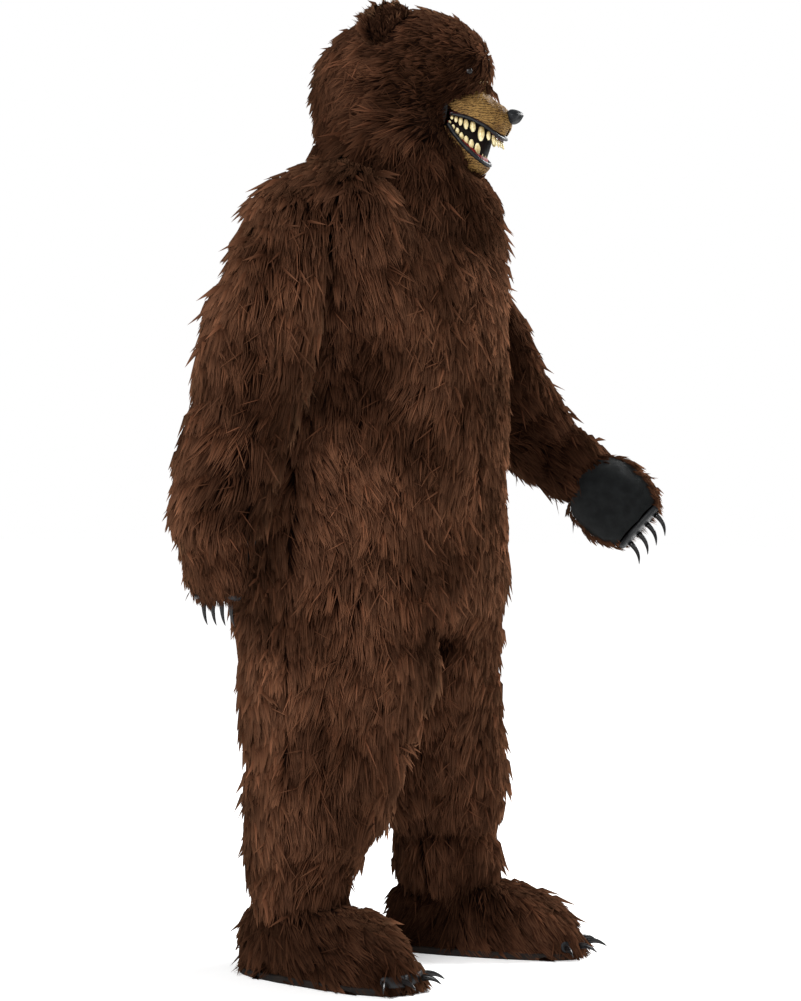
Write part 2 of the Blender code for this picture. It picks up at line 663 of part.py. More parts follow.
def add_mitt(side, word, cuff, axis, thick_dir, length, claw_curl, base):
    """One mitt below its cuff: fur back, palm cloth, finger pad strip and four claws."""
    axis = unit(axis)
    thick_dir = unit(thick_dir - axis * np.dot(thick_dir, axis))
    wide_dir = np.cross(axis, thick_dir)
    cuff_normal = unit(np.cross(cuff[4] - cuff[0], cuff[8] - cuff[0]))
    cuff_normal *= np.sign(np.dot(cuff_normal, axis))
    centre = cuff.mean(axis=0)
    turns = np.linspace(0.0, 2.0 * math.pi, MITT_SIDES, endpoint=False)
    start = []
    for turn in turns:
        ray = thick_dir * math.cos(turn) + wide_dir * math.sin(turn)
        ray = unit(ray - cuff_normal * np.dot(ray, cuff_normal))
        nearest = cuff[np.argmax((cuff - centre) @ ray)]
        reach = np.dot(nearest - centre, ray) * MITT_MOUTH_SHARE
        start.append(centre + ray * reach + cuff_normal * SEAM_GAP)
    rings = [start]
    for share, half_width, half_thick in MITT_ROWS:
        middle = centre + axis * length * share
        rings.append([middle + thick_dir * half_thick * math.cos(turn) + wide_dir * half_width
                      * math.sin(turn) for turn in turns])
    outer = np.array(rings)
    inner = tube_walls(outer, PALM_WALL)
    fur_inner = tube_walls(outer, MITT_FUR_WALL)
    quarter = MITT_SIDES // 4
    back = [index % MITT_SIDES for index in range(-quarter, quarter + 1)]
    palm = [index % MITT_SIDES for index in range(quarter, 3 * quarter + 1)]
    for name, columns, inside, finish in (("mitt_back", back, fur_inner, FUR),
                                          ("mitt_palm", palm, inner, BLACK_CLOTH)):
        edges = (0, len(columns) - 1)
        add_wall(f"{name}_{word}", draw_back(outer[:, columns], edges, SEAM_GAP / 2),
                 draw_back(inside[:, columns], edges, SEAM_GAP / 2), False, finish, base)
    end = outer[-1]
    spread = end - end.mean(axis=0)
    top = end + axis * SEAM_GAP
    low = centre + axis * (length + PAD_LENGTH) + spread * PAD_TAPER
    add_loft(f"mitt_pad_{word}", [top, (top + low) / 2 + spread * PAD_SWELL, low], CHARCOAL, base)
    for number in range(4):
        offset = (number - 1.5) * MITT_CLAW_PITCH
        seat = centre + axis * (length + PAD_LENGTH + SEAM_GAP) + wide_dir * offset
        add_claw(f"mitt_claw_{word}_{number + 1}", seat, axis, claw_curl, CLAW_LENGTH,
                 CLAW_RADIUS, base)


def add_mitts(cuffs, base):
    """The right mitt hangs with its palm to the body; the left shows its palm to the right."""
    add_mitt(-1, "right", cuffs[-1], np.array([-0.03, 0.0, -1.0]), np.array([-0.80, 0.25, 0.0]),
             0.138, np.array([0.5, 0.1, 0.0]), base)
    add_mitt(1, "left", cuffs[1], np.array([0.18, -0.72, -0.68]), np.array([0.83, 0.42, 0.20]),
             0.140, np.array([-0.2, 0.25, -1.0]), base)


# Shoe covers: the fur upper runs from the ankle ring to the sole's outline

ANKLES = {-1: (-0.196, 0.045), 1: (0.198, -0.070)}
ANKLE_HALF = {-1: (0.084, 0.090), 1: (0.090, 0.096)}
HEEL_SHARE = 0.31
SHOE_ROWS = (0.0, 0.16, 0.34, 0.52, 0.70, 0.86, 1.0)
SHOE_ROUND = 15
SHOE_SLOPE = 1.1
SOLE_ROUNDNESS = (0.80, 0.62)
TOE_WIDENING = 0.10
SOLE_LEDGE = 0.002
TOE_STRIP_THICK = 0.008
TOE_STRIP_ROWS = 2
FOOT_CLAW_LENGTH = 0.046
FOOT_CLAW_RADIUS = 0.0068


def foot_axes(side):
    """Directions to the toes and to the side of one foot."""
    toe = np.array([side * math.sin(FOOT_SPLAY), -math.cos(FOOT_SPLAY), 0.0])
    return toe, np.array([-toe[1], toe[0], 0.0])


def foot_outline(turn):
    """Forward and sideways place of the sole's edge at a turn from the toes."""
    forward = FOOT_LENGTH * (1.0 - HEEL_SHARE)
    backward = FOOT_LENGTH * HEEL_SHARE
    reach = forward if math.cos(turn) > 0 else backward
    along = math.copysign(reach * abs(math.cos(turn)) ** SOLE_ROUNDNESS[0], math.cos(turn))
    half_width = FOOT_HALF_WIDTH * (1.0 + TOE_WIDENING * math.cos(turn))
    across = math.copysign(half_width * abs(math.sin(turn)) ** SOLE_ROUNDNESS[1], math.sin(turn))
    return along, across


def shoe_turns():
    """Turns of the columns: facets for the claws at the toes, then the rest of the way round."""
    toes = np.linspace(-TOE_SPREAD, TOE_SPREAD, TOE_FACETS + 1)
    rest = np.linspace(TOE_SPREAD, 2 * math.pi - TOE_SPREAD, SHOE_ROUND + 1)[1:-1]
    return np.concatenate([toes, rest])


def add_shoe(side, word, base):
    """One shoe cover: fur upper, sole, toe pad strip and four claws."""
    toe, sideways = foot_axes(side)
    ankle = np.array([*ANKLES[side], 0.0])
    half_x, half_y = ANKLE_HALF[side]
    turns = shoe_turns()
    rings = []
    for step in SHOE_ROWS:
        round_over = step * math.pi / 2
        ring = []
        for turn in turns:
            along, across = foot_outline(turn)
            bottom = ankle + toe * along + sideways * across
            ray = unit(toe * math.cos(turn) + sideways * math.sin(turn))
            top = ankle + ray * half_x * half_y / math.hypot(half_y * ray[0], half_x * ray[1])
            out = math.sin(round_over)
            point = top + (bottom - top) * out
            high, low = HEM_HEIGHT - SEAM_GAP, SOLE_THICKNESS + SEAM_GAP
            point[2] = low + (high - low) * math.cos(round_over) ** SHOE_SLOPE
            ring.append(point)
        rings.append(ring)
    outer = np.array(rings)
    normals = grid_normals(outer, True)
    normals *= np.sign(np.sum(normals * (outer - outer.mean(axis=1, keepdims=True))))
    inner = outer - normals * FUR_WALL
    inner[0] = move_to_centre(outer[0], FUR_WALL)
    inner[-1] = outer[-1] - unit(normals[-1] * [1, 1, 0]) * FUR_WALL
    inner[-1, :, 2] = outer[-1, :, 2]
    add_wall(f"shoe_{word}", outer, inner, True, FUR, base)
    edge = outer[-1].copy()
    edge[:, :2] += unit(normals[-1, :, :2]) * SOLE_LEDGE
    low_ring, high_ring = edge.copy(), edge.copy()
    low_ring[:, 2] = 0.0
    high_ring[:, 2] = SOLE_THICKNESS
    add_loft(f"sole_{word}", [low_ring, high_ring], RUBBER, base)
    columns = slice(0, TOE_FACETS + 1)
    toe_normals = unit(normals[-TOE_STRIP_ROWS:, columns] * [1, 1, 0])
    near = outer[-TOE_STRIP_ROWS:, columns] + toe_normals * SEAM_GAP * 2
    near[-1, :, 2] += SEAM_GAP
    far = near + toe_normals * TOE_STRIP_THICK
    add_wall(f"toe_pad_{word}", far, near, False, CHARCOAL, base)
    for number in range(4):
        facet = number * 2
        corners = far[:, facet:facet + 2].reshape(-1, 3)
        normal = np.cross(corners[1] - corners[0], corners[2] - corners[0])
        normal = unit(normal * np.sign(np.dot(normal, toe)))
        seat = corners.mean(axis=0) + normal * SEAM_GAP * 2
        add_claw(f"foot_claw_{word}_{number + 1}", seat, normal, np.array([0.0, 0.0, -1.0]),
                 FOOT_CLAW_LENGTH, FOOT_CLAW_RADIUS, base)


# Head, in its own frame: forward, to the figure's right, and height

def head_point(forward, right, height, turn_share=1.0):
    """World place of a point given in the head's frame; the bib takes only a share of its turn."""
    turned = HEAD_TURN * turn_share
    ahead = np.array([math.sin(turned), -math.cos(turned), 0.0])
    to_right = np.array([-math.cos(turned), -math.sin(turned), 0.0])
    return np.array([0.0, HEAD_PIVOT_Y, height]) + ahead * forward + to_right * right


HOOD_COLUMNS = 13
HOOD_MIDDLE = (0.02, 0.0, 1.70)
HOOD_ROUNDNESS = 0.9


def hood_local(row, share):
    """Point of a hood ring in the head's frame, from the throat (0) to the crown (1)."""
    throat_f, throat_h, side_f, side_h, half_width, crown_f, crown_h, _ = row
    turn = math.pi * share
    swing, bow = (1.0 + math.cos(turn)) / 2, math.sin(turn) ** 2
    bib = smooth_step(BIB_TOP - throat_h, 0.0, BIB_TOP - HOOD[0][1])
    forward = throat_f * swing + crown_f * (1 - swing)
    height = throat_h * swing + crown_h * (1 - swing)
    forward += (side_f - (throat_f + crown_f) / 2) * bow
    height += (side_h - (throat_h + crown_h) / 2) * bow
    height -= BIB_DRAPE * bib * max(math.sin(2 * turn), 0.0)
    return np.array([forward, half_width * abs(math.sin(turn)) ** HOOD_ROUNDNESS, height])


def hood_grids():
    """Outer and inner points of the right half of the hood, in the head's frame."""
    shares = np.linspace(0.0, 1.0, HOOD_COLUMNS)
    outer = np.array([[hood_local(row, share) for share in shares] for row in HOOD])
    normals = grid_normals(outer, False)
    normals *= np.sign(np.sum(normals * (outer - np.array(HOOD_MIDDLE))))
    normals[:, 0, 1] = 0.0
    normals[:, -1, 1] = 0.0
    normals = unit(normals)
    walls = np.array([row[-1] for row in HOOD])
    inner = outer - normals * walls[:, None, None]
    inner[:, :, 1] = np.maximum(inner[:, :, 1], 0.0)
    return outer, inner


def to_world(grid, mirror, turn_shares=()):
    """A grid in the head's frame brought to the world, for the right or the left half."""
    placed = []
    for row, points in enumerate(grid):
        turn_share = turn_shares[row] if row < len(turn_shares) else 1.0
        placed.append([head_point(point[0], point[1] * mirror, point[2], turn_share)
                       for point in points])
    return np.array(placed)


def add_hood(base):
    """Both halves of the fur hood with its bib; returns the grids of the right half."""
    outer, inner = hood_grids()
    for mirror, word in ((1, "right"), (-1, "left")):
        edges = (0, outer.shape[1] - 1)
        shell, lining = outer.copy(), inner.copy()
        for grid in (shell, lining):
            for column in edges:
                grid[:, column, 1] += SEAM_GAP / 2
        add_wall(f"hood_{word}", to_world(shell, mirror, BIB_TURN_SHARES),
                 to_world(lining, mirror, BIB_TURN_SHARES), False, FUR, base)
    return outer


EAR_CENTRE = (0.040, 0.132)
EAR_FACING = math.radians(38)
EAR_HEIGHT = 0.041
EAR_HALF_WIDTH = 0.056
EAR_HALF_THICK = 0.019
EAR_HOLLOW = 0.012
EAR_COLUMNS = 8
EAR_FOOT = 0.62
EAR_LEVELS = (0.0, 0.16, 0.42, 0.68, 0.88, 0.97)
EAR_LIFT = 0.0026
EAR_LEAN = 0.45
EAR_CROWN = 2.4
EAR_FLARE = 0.12
EAR_THINNING = 0.45
EAR_EDGE = 0.75
EAR_RAY_START = 0.2


def add_ears(outer, base):
    """Rounded ears standing on the crown, turned outwards and hollow to the front."""
    rows, columns = outer.shape[:2]
    cells = [(row * columns + column, row * columns + column + 1,
              (row + 1) * columns + column + 1, (row + 1) * columns + column)
             for row in range(rows - 1) for column in range(columns - 1)]
    skull = BVHTree.FromPolygons([Vector(point) for point in outer.reshape(-1, 3)], cells)
    up = unit([0.0, EAR_LEAN, 1.0])
    face = np.array([math.cos(EAR_FACING), math.sin(EAR_FACING), 0.0])
    face = unit(face - up * np.dot(face, up))
    wide = np.cross(up, face)
    foot = np.array([*EAR_CENTRE, 0.0])
    above = Vector(foot + [0.0, 0.0, outer[:, :, 2].max() + EAR_RAY_START])
    centre = np.array(skull.ray_cast(above, Vector((0.0, 0.0, -1.0)))[0])
    places = np.linspace(-1.0, 1.0, EAR_COLUMNS)
    order = [(across, 1) for across in places] + [(across, -1) for across in places[::-1]]
    rings = []
    for level in EAR_LEVELS:
        width = EAR_HALF_WIDTH * math.sqrt(1.0 - level ** EAR_CROWN) * (1.0 + EAR_FLARE * level)
        thick = EAR_HALF_THICK * (1.0 - EAR_THINNING * level)
        if level == 0.0:
            width, thick = width * EAR_FOOT, thick * EAR_FOOT
        ring = []
        for across, front in order:
            round_end = math.sqrt(1.0 - EAR_EDGE * across ** 2)
            hollow = EAR_HOLLOW * smooth_step(level, 0.0, 0.5) * (1.0 - across ** 2) * (front > 0)
            point = centre + wide * width * across + face * (thick * front * round_end - hollow)
            start = Vector(point + up * EAR_RAY_START)
            below = skull.ray_cast(start, Vector(-up))[0]
            if level == 0.0:
                point = np.array(below) + up * EAR_LIFT
            else:
                swell = max(np.dot(np.array(below) - point, up), 0.0) if below else 0.0
                point = point + up * (EAR_HEIGHT * level + swell * (1.0 - level))
            ring.append(point)
        rings.append(ring)
    for mirror, word in ((1, "right"), (-1, "left")):
        add_loft(f"ear_{word}", to_world(np.array(rings), mirror), FUR, base, ladder=True)


MOUTH_MIDDLE = (0.13, 0.0, 1.62)


def lip_line(rows, shares):
    """Points along a lip, from the right corner (-1) over the front (0) to the left (1)."""
    points = []
    for share in shares:
        forward, half_width, height = read_rows(rows, abs(share))
        points.append(np.array([forward, -math.copysign(half_width, share), height]))
    return np.array(points)


def lip_outward(points):
    """Level directions pointing out of the mouth along a lip line."""
    along = np.gradient(points, axis=0)
    out = np.stack([along[:, 1], -along[:, 0], np.zeros(len(points))], axis=1)
    out = unit(out)
    flip = np.sign(np.sum(out * (points - np.array(MOUTH_MIDDLE)) * [1, 1, 0], axis=1))
    return out * flip[:, None]


MUZZLE_COLUMNS = 15
MUZZLE_MIDDLE = (0.18, 0.0, 1.62)
MUZZLE_ROUNDNESS = (0.72, 0.75)
BRIDGE_TAPER = 0.22
JAW_CORNER = 0.44
JAW_FULLNESS = (0.006, 0.004)


def face_opening(outer):
    """The hood's last ring, a gap inside its cloth, from the throat to the crown."""
    opening = outer[-1].copy()
    centre = opening.mean(axis=0) * [1.0, 0.0, 1.0]
    return opening + unit(centre - opening) * SEAM_GAP * 2, np.linspace(0.0, 1.0, HOOD_COLUMNS)


def add_muzzle(outer_hood, base):
    """Latex snout: a wall from inside the face opening forward, open below along the lips."""
    opening, shares = face_opening(outer_hood)
    half = (MUZZLE_COLUMNS + 1) // 2
    root = []
    for step in np.linspace(FACE_RING_CORNER, 1.0, half):
        root.append([np.interp(step, shares, opening[:, axis]) for axis in range(3)])
    root = np.array(root)
    root[-1, 1] = 0.0
    rows = [np.concatenate([root, root[::-1][1:] * [1, -1, 1]])]
    for lip_f, lip_h, half_width, crown_f, crown_h in MUZZLE:
        turns = np.linspace(0.0, math.pi, MUZZLE_COLUMNS)
        row = []
        for turn in turns:
            rise = math.sin(turn) ** MUZZLE_ROUNDNESS[1]
            width = math.copysign(abs(math.cos(turn)) ** MUZZLE_ROUNDNESS[0], math.cos(turn))
            row.append([lip_f + (crown_f - lip_f) * rise,
                        half_width * width * (1.0 - BRIDGE_TAPER * rise),
                        lip_h + (crown_h - lip_h) * rise])
        rows.append(row)
    outer = np.array(rows)
    outer[:, MUZZLE_COLUMNS // 2, 1] = 0.0
    normals = grid_normals(outer, False)
    normals *= np.sign(np.sum(normals * (outer - np.array(MUZZLE_MIDDLE))))
    shell = outer - normals * LATEX_WALL
    add_wall("muzzle", to_world(outer, 1), to_world(shell, 1), False, TAN, base)
    return outer


def add_jaw(outer_hood, base):
    """Latex chin: a wall from just below the lower lip to the edge of the face opening."""
    opening, shares = face_opening(outer_hood)
    steps = JAW_SHARES[len(JAW_SHARES) // 2:]
    low = []
    for step in steps:
        low.append([np.interp(step * JAW_CORNER, shares, opening[:, axis]) for axis in range(3)])
    low = np.array(low)
    low[0, 1] = 0.0
    line, out, up = lip_frames(LOWER_LIP, JAW_SHARES)
    high = (line - up * LOWER_LIP_DROP)[:len(steps)][::-1]
    high[0, 1] = 0.0
    between = (high + low) / 2
    between[:, 0] += JAW_FULLNESS[0] * (1.0 - steps)
    between[:, 2] -= JAW_FULLNESS[1] * (1.0 - steps)
    rows = []
    for row in (low, between, high):
        rows.append(np.concatenate([row[::-1], row[1:] * [1, -1, 1]]))
    outer = np.array(rows)
    normals = grid_normals(outer, False)
    normals *= np.sign(np.sum(normals * (outer - np.array(MOUTH_MIDDLE))))
    normals[-1] = out
    shell = outer - normals * LATEX_WALL
    add_wall("jaw", to_world(outer, 1), to_world(shell, 1), False, TAN, base)


def lip_frames(rows, shares):
    """Points along a lip with their outward and upward directions, square to the lip."""
    points = lip_line(rows, shares)
    out = lip_outward(points)
    up = unit(np.cross(out, unit(np.gradient(points, axis=0))))
    up *= np.sign(up[:, 2:])
    return points, out, up


JAW_SHARES = np.linspace(-0.88, 0.88, 17)
LIP_SHARES = np.linspace(-0.96, 0.96, 19)
LIP_INSET = 0.0015
LIP_RADIUS = 0.0042
UPPER_LIP_DROP = 0.0048
LOWER_LIP_DROP = 0.0042
LIP_SIDES = 6


def add_lip(name, rows, drop, base):
    """A rolled lip: a tube along its line, a seam gap past the latex edge."""
    points, out, up = lip_frames(rows, LIP_SHARES)
    points = points - out * LIP_INSET - up * drop
    rings = []
    for point, side, lift in zip(points, out, up):
        rings.append([point + (side * math.cos(angle) + lift * math.sin(angle)) * LIP_RADIUS
                      for angle in np.linspace(0, 2 * math.pi, LIP_SIDES, endpoint=False)])
    add_loft(name, to_world(np.array(rings), 1), CHARCOAL, base)


GUM_INSET = 0.0090
GUM_HALF_THICK = 0.0024
GUM_HALF_HEIGHT = 0.0050
CANINE_FROM = 0.02
TOOTH_HALF_SHARE = 0.030
CANINE_HALF_SHARE = 0.036
TOOTH_VALLEY = 0.0035
TOOTH_SLOPES = ((-0.55, 0.72), (0.0, 1.0), (0.60, 0.68))
LAST_TOOTH_SHARE = 0.045
FIRST_VALLEY_SHARE = 0.02
TOOTH_TIP_THIN = 0.45
ARCH_SAMPLES = 25


def teeth_columns(teeth):
    """Shares along the lip and lengths of the toothed edge, right to left."""
    columns = []
    for share, length in teeth:
        half = CANINE_HALF_SHARE if length > CANINE_FROM else TOOTH_HALF_SHARE
        columns.append((share - half, TOOTH_VALLEY))
        columns += [(share + half * place, length * fullness) for place, fullness in TOOTH_SLOPES]
    columns.append((teeth[-1][0] + LAST_TOOTH_SHARE, TOOTH_VALLEY))
    columns = [column for column in columns if column[0] > FIRST_VALLEY_SHARE]
    columns.insert(0, (0.0, TOOTH_VALLEY))
    mirrored = [(-share, length) for share, length in reversed(columns[1:])] + columns
    return np.array(mirrored)


def arch_frames(rows, shares):
    """Points on the dental arch behind a lip and the level directions out of the mouth there."""
    even = np.linspace(shares[0], shares[-1], ARCH_SAMPLES)
    even_out = lip_outward(lip_line(rows, even))
    out = unit(np.array([[np.interp(share, even, even_out[:, axis]) for axis in range(3)]
                         for share in shares]))
    return lip_line(rows, shares) - out * GUM_INSET, out


def add_gum(name, rows, teeth, centre_lift, base):
    """The gum behind a lip, a band round the dental arch."""
    rings = []
    for centre, side in zip(*arch_frames(rows, teeth_columns(teeth)[:, 0])):
        centre = centre + np.array([0.0, 0.0, centre_lift])
        up = np.array([0.0, 0.0, GUM_HALF_HEIGHT])
        rings.append([centre - side * GUM_HALF_THICK - up, centre + side * GUM_HALF_THICK - up,
                      centre + side * GUM_HALF_THICK + up, centre - side * GUM_HALF_THICK + up])
    add_loft(name, to_world(np.array(rings), 1), FLESH, base)


def add_teeth(name, rows, teeth, root_lift, direction, base):
    """A row of teeth as one toothed wall round the arch, from its root line to the tips."""
    columns = teeth_columns(teeth)
    rings = []
    for centre, side, length in zip(*arch_frames(rows, columns[:, 0]), columns[:, 1]):
        root = centre + np.array([0.0, 0.0, root_lift])
        tip = root + np.array([0.0, 0.0, direction * length])
        rings.append([root - side * GUM_HALF_THICK, root + side * GUM_HALF_THICK,
                      tip + side * GUM_HALF_THICK * TOOTH_TIP_THIN,
                      tip - side * GUM_HALF_THICK * TOOTH_TIP_THIN])
    add_loft(name, to_world(np.array(rings), 1), IVORY, base)


NOSE_ROWS = [
    # forward, centre_height, half_width, half_height
    (0.2465, 1.6745, 0.020, 0.0085),
    (0.2560, 1.6690, 0.022, 0.0140),
    (0.2650, 1.6680, 0.018, 0.0120),
    (0.2710, 1.6690, 0.009, 0.0065),
]
TONGUE_ROWS = [
    # forward, height, half_width, half_thick
    (0.105, 1.626, 0.022, 0.0050),
    (0.135, 1.614, 0.023, 0.0065),
    (0.165, 1.598, 0.020, 0.0060),
    (0.189, 1.583, 0.010, 0.0040),
]
TONGUE_SIDES, TONGUE_TILT = 10, 0.3
NOSE_SIDES, NOSE_TILT = 12, -0.25

# Height of each gum's middle and each tooth root above its lip line
UPPER_GUM_LIFT, UPPER_ROOT_LIFT = -0.0030, -0.0083
LOWER_GUM_LIFT, LOWER_ROOT_LIFT = 0.0010, 0.0063


def oval_rings(rows, sides, tilt):
    """Rings of a rounded bar along the head's forward direction."""
    rings = []
    for forward, height, half_width, half_height in rows:
        ring = []
        for angle in np.linspace(0, 2 * math.pi, sides, endpoint=False):
            up = half_height * math.sin(angle)
            ring.append([forward + up * tilt, half_width * math.cos(angle), height + up])
        rings.append(ring)
    return to_world(np.array(rings), 1)


def add_face(outer, base):
    """Muzzle, jaw, lips, gums, teeth, tongue, nose and eyes."""
    add_muzzle(outer, base)
    add_jaw(outer, base)
    add_lip("lip_upper", UPPER_LIP, UPPER_LIP_DROP, base)
    add_lip("lip_lower", LOWER_LIP, 0.0, base)
    add_gum("gum_upper", UPPER_LIP, UPPER_TEETH, UPPER_GUM_LIFT, base)
    add_gum("gum_lower", LOWER_LIP, LOWER_TEETH, LOWER_GUM_LIFT, base)
    add_teeth("teeth_upper", UPPER_LIP, UPPER_TEETH, UPPER_ROOT_LIFT, -1.0, base)
    add_teeth("teeth_lower", LOWER_LIP, LOWER_TEETH, LOWER_ROOT_LIFT, 1.0, base)
    add_loft("tongue", oval_rings(TONGUE_ROWS, TONGUE_SIDES, TONGUE_TILT), FLESH, base)
    add_loft("nose", oval_rings(NOSE_ROWS, NOSE_SIDES, NOSE_TILT), BLACK_GLOSS, base)
    add_eyes(outer, base)


EYE_ROW = 11
EYE_COLUMN = 9
EYE_RADIUS = 0.0085
EYE_SIDES = 10
EYE_RINGS = [
    # lift off the cloth, share of the radius
    (0.0004, 1.00),
    (0.0040, 0.86),
    (0.0065, 0.45),
]


def add_eyes(outer, base):
    """Small glossy eyes, each a dome seated on the brow's cloth."""
    corner = outer[EYE_ROW:EYE_ROW + 2, EYE_COLUMN:EYE_COLUMN + 2]
    centre = corner.reshape(-1, 3).mean(axis=0)
    normal = np.cross(corner[1, 0] - corner[0, 0], corner[0, 1] - corner[0, 0])
    normal = unit(normal * np.sign(normal[0]))
    first = unit(np.cross(normal, [0.0, 0.0, 1.0]))
    second = np.cross(normal, first)
    for mirror, word in ((1, "right"), (-1, "left")):
        rings = []
        for lift, share in EYE_RINGS:
            radius = EYE_RADIUS * share
            rings.append([centre + normal * lift + first * math.cos(angle) * radius
                          + second * math.sin(angle) * radius
                          for angle in np.linspace(0, 2 * math.pi, EYE_SIDES, endpoint=False)])
        add_loft(f"eye_{word}", to_world(np.array(rings), mirror), BLACK_GLOSS, base)


def main():
    """Build the whole costume under one empty at the wearer's shoulders."""
    remove_all()
    base = bpy.data.objects.new("wearer_frame", None)
    base.location = Vector((0.0, 0.0, -SHOULDER_HEIGHT))
    bpy.context.scene.collection.objects.link(base)
    grids = add_jumpsuit(base)
    add_zip(grids, base)
    cuffs = add_sleeves(grids, base)
    add_mitts(cuffs, base)
    for side, word in ((-1, "right"), (1, "left")):
        add_shoe(side, word, base)
    outer = add_hood(base)
    add_ears(outer, base)
    add_face(outer, base)
    bpy.context.view_layer.update()


main()
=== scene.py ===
"""Bear costume in its worn pose: fur jumpsuit, mask head, clawed mitts and shoe covers.

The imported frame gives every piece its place. Each fur cloth is a thin knitted backing on the inner
face of its solid, with soft creases, and its pile is thousands of bent locks joined into one mesh.
The mask's snout, lips, teeth and nose, the claws, palms and soles are modelled pieces of their own.
Metres, +Z up; the figure faces -Y, its right side is -X, and the floor lies at FLOOR.
"""

import logging
import math
from collections.abc import Callable
from dataclasses import dataclass, field
from enum import Enum
from functools import cache, partial

import bmesh
import bpy
import numpy as np
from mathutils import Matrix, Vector
from mathutils.bvhtree import BVHTree
from mathutils.kdtree import KDTree

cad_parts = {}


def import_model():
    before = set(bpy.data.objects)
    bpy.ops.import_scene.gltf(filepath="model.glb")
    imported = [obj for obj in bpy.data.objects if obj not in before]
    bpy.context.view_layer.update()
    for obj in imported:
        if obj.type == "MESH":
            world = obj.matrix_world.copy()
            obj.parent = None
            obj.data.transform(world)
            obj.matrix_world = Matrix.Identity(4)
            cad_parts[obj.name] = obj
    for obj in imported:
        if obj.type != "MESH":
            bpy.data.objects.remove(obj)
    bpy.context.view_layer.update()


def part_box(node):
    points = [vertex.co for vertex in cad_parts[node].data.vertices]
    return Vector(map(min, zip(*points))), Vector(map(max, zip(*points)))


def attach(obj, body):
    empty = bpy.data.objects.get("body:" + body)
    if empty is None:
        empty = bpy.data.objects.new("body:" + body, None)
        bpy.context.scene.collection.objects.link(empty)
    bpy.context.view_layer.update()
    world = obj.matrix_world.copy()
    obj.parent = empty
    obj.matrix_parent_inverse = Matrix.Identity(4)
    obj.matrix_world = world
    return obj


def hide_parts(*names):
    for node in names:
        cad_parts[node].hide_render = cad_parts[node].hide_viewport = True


log = logging.getLogger("bear_costume")

FLOOR = -1.50
ROOT_BODY = "root"
SIDES = ("right", "left")
MERGE_DISTANCE = 0.00002
Array = np.ndarray
Rows = tuple[tuple[float, ...], ...]
Place = tuple[float, float, float]
Colour = tuple[float, float, float]


# Small helpers for arrays

def unit(vectors: Array) -> Array:
    """Scale vectors to length one.

    Args:
        vectors: Vectors along the last axis.

    Returns:
        The same directions with length one.
    """
    return vectors / np.maximum(np.linalg.norm(vectors, axis=-1, keepdims=True), 1e-9)


def smooth_step(value: Array | float, low: float, high: float) -> Array | float:
    """Ease from zero to one.

    Args:
        value: Where to read the curve.
        low: Where it leaves zero.
        high: Where it reaches one.

    Returns:
        Shares between zero and one.
    """
    share = np.clip((value - low) / (high - low), 0.0, 1.0)
    return share * share * (3.0 - 2.0 * share)


def ripple(points: Array, size: float, seed: int) -> Array:
    """Smooth random swells, the same on every run.

    Args:
        points: Places, one a row.
        size: Length of a swell in metres.
        seed: Picks the pattern.

    Returns:
        One value a place, mostly between minus one and one.
    """
    rng = np.random.default_rng(seed)
    total = np.zeros(len(points))
    waves = 7
    for _ in range(waves):
        direction = unit(rng.normal(size=3)) * (2.0 * math.pi / size) * rng.uniform(0.6, 1.5)
        total += np.sin(points @ direction + rng.uniform(0.0, 2.0 * math.pi))
    return total / math.sqrt(waves)


# Small helpers for objects

def placed(name: str, data: bpy.types.ID) -> bpy.types.Object:
    """Put a mesh, light or camera into the scene as a new object."""
    item = bpy.data.objects.new(name, data)
    bpy.context.scene.collection.objects.link(item)
    return item


def only(item: bpy.types.Object) -> None:
    """Select one object alone and make it active."""
    bpy.ops.object.select_all(action="DESELECT")
    item.select_set(True)
    bpy.context.view_layer.objects.active = item


def edit_all(item: bpy.types.Object, *steps: Callable[[], object]) -> None:
    """Run mesh operators on all of a piece.

    Args:
        item: The piece.
        steps: The operators, with their values already given.
    """
    only(item)
    bpy.ops.object.mode_set(mode="EDIT")
    bpy.ops.mesh.select_all(action="SELECT")
    for step in steps:
        step()
    bpy.ops.object.mode_set(mode="OBJECT")


def node_copy(node: str, name: str) -> bpy.types.Object:
    """Copy a node of the frame as a merged mesh of quads.

    Args:
        node: The node's name.
        name: The new piece's name.

    Returns:
        The new object, at the origin.
    """
    mesh = bpy.data.objects[node].data.copy()
    mesh.materials.clear()
    item = placed(name, mesh)
    edit_all(item, partial(bpy.ops.mesh.remove_doubles, threshold=MERGE_DISTANCE),
             bpy.ops.mesh.customdata_custom_splitnormals_clear,
             partial(bpy.ops.mesh.tris_convert_to_quads, face_threshold=math.radians(60),
                     shape_threshold=math.radians(80)))
    return item


def finish_with(item: bpy.types.Object, kind: str, **settings: object) -> None:
    """Add a modifier to a piece and apply it.

    Args:
        item: The piece.
        kind: The modifier's type.
        settings: Its values by name.
    """
    only(item)
    modifier = item.modifiers.new(kind.title(), kind)
    for key, value in settings.items():
        setattr(modifier, key, value)
    bpy.ops.object.modifier_apply(modifier=modifier.name)


def round_off(item: bpy.types.Object, levels: int) -> None:
    """Subdivide a piece into a smooth surface and apply it."""
    finish_with(item, "SUBSURF", levels=levels, render_levels=levels, boundary_smooth="PRESERVE_CORNERS")


def shade(item: bpy.types.Object, angle: float = 50.0) -> None:
    """Shade a piece smooth, with sharp edges past an angle in degrees."""
    only(item)
    bpy.ops.object.shade_smooth_by_angle(angle=math.radians(angle))


def points_of(item: bpy.types.Object) -> Array:
    """Read a piece's points, one a row."""
    found = np.empty(len(item.data.vertices) * 3)
    item.data.vertices.foreach_get("co", found)
    return found.reshape(-1, 3)


def normals_of(item: bpy.types.Object) -> Array:
    """Read a piece's point normals, one a row."""
    found = np.empty(len(item.data.vertices) * 3)
    item.data.vertices.foreach_get("normal", found)
    return found.reshape(-1, 3)


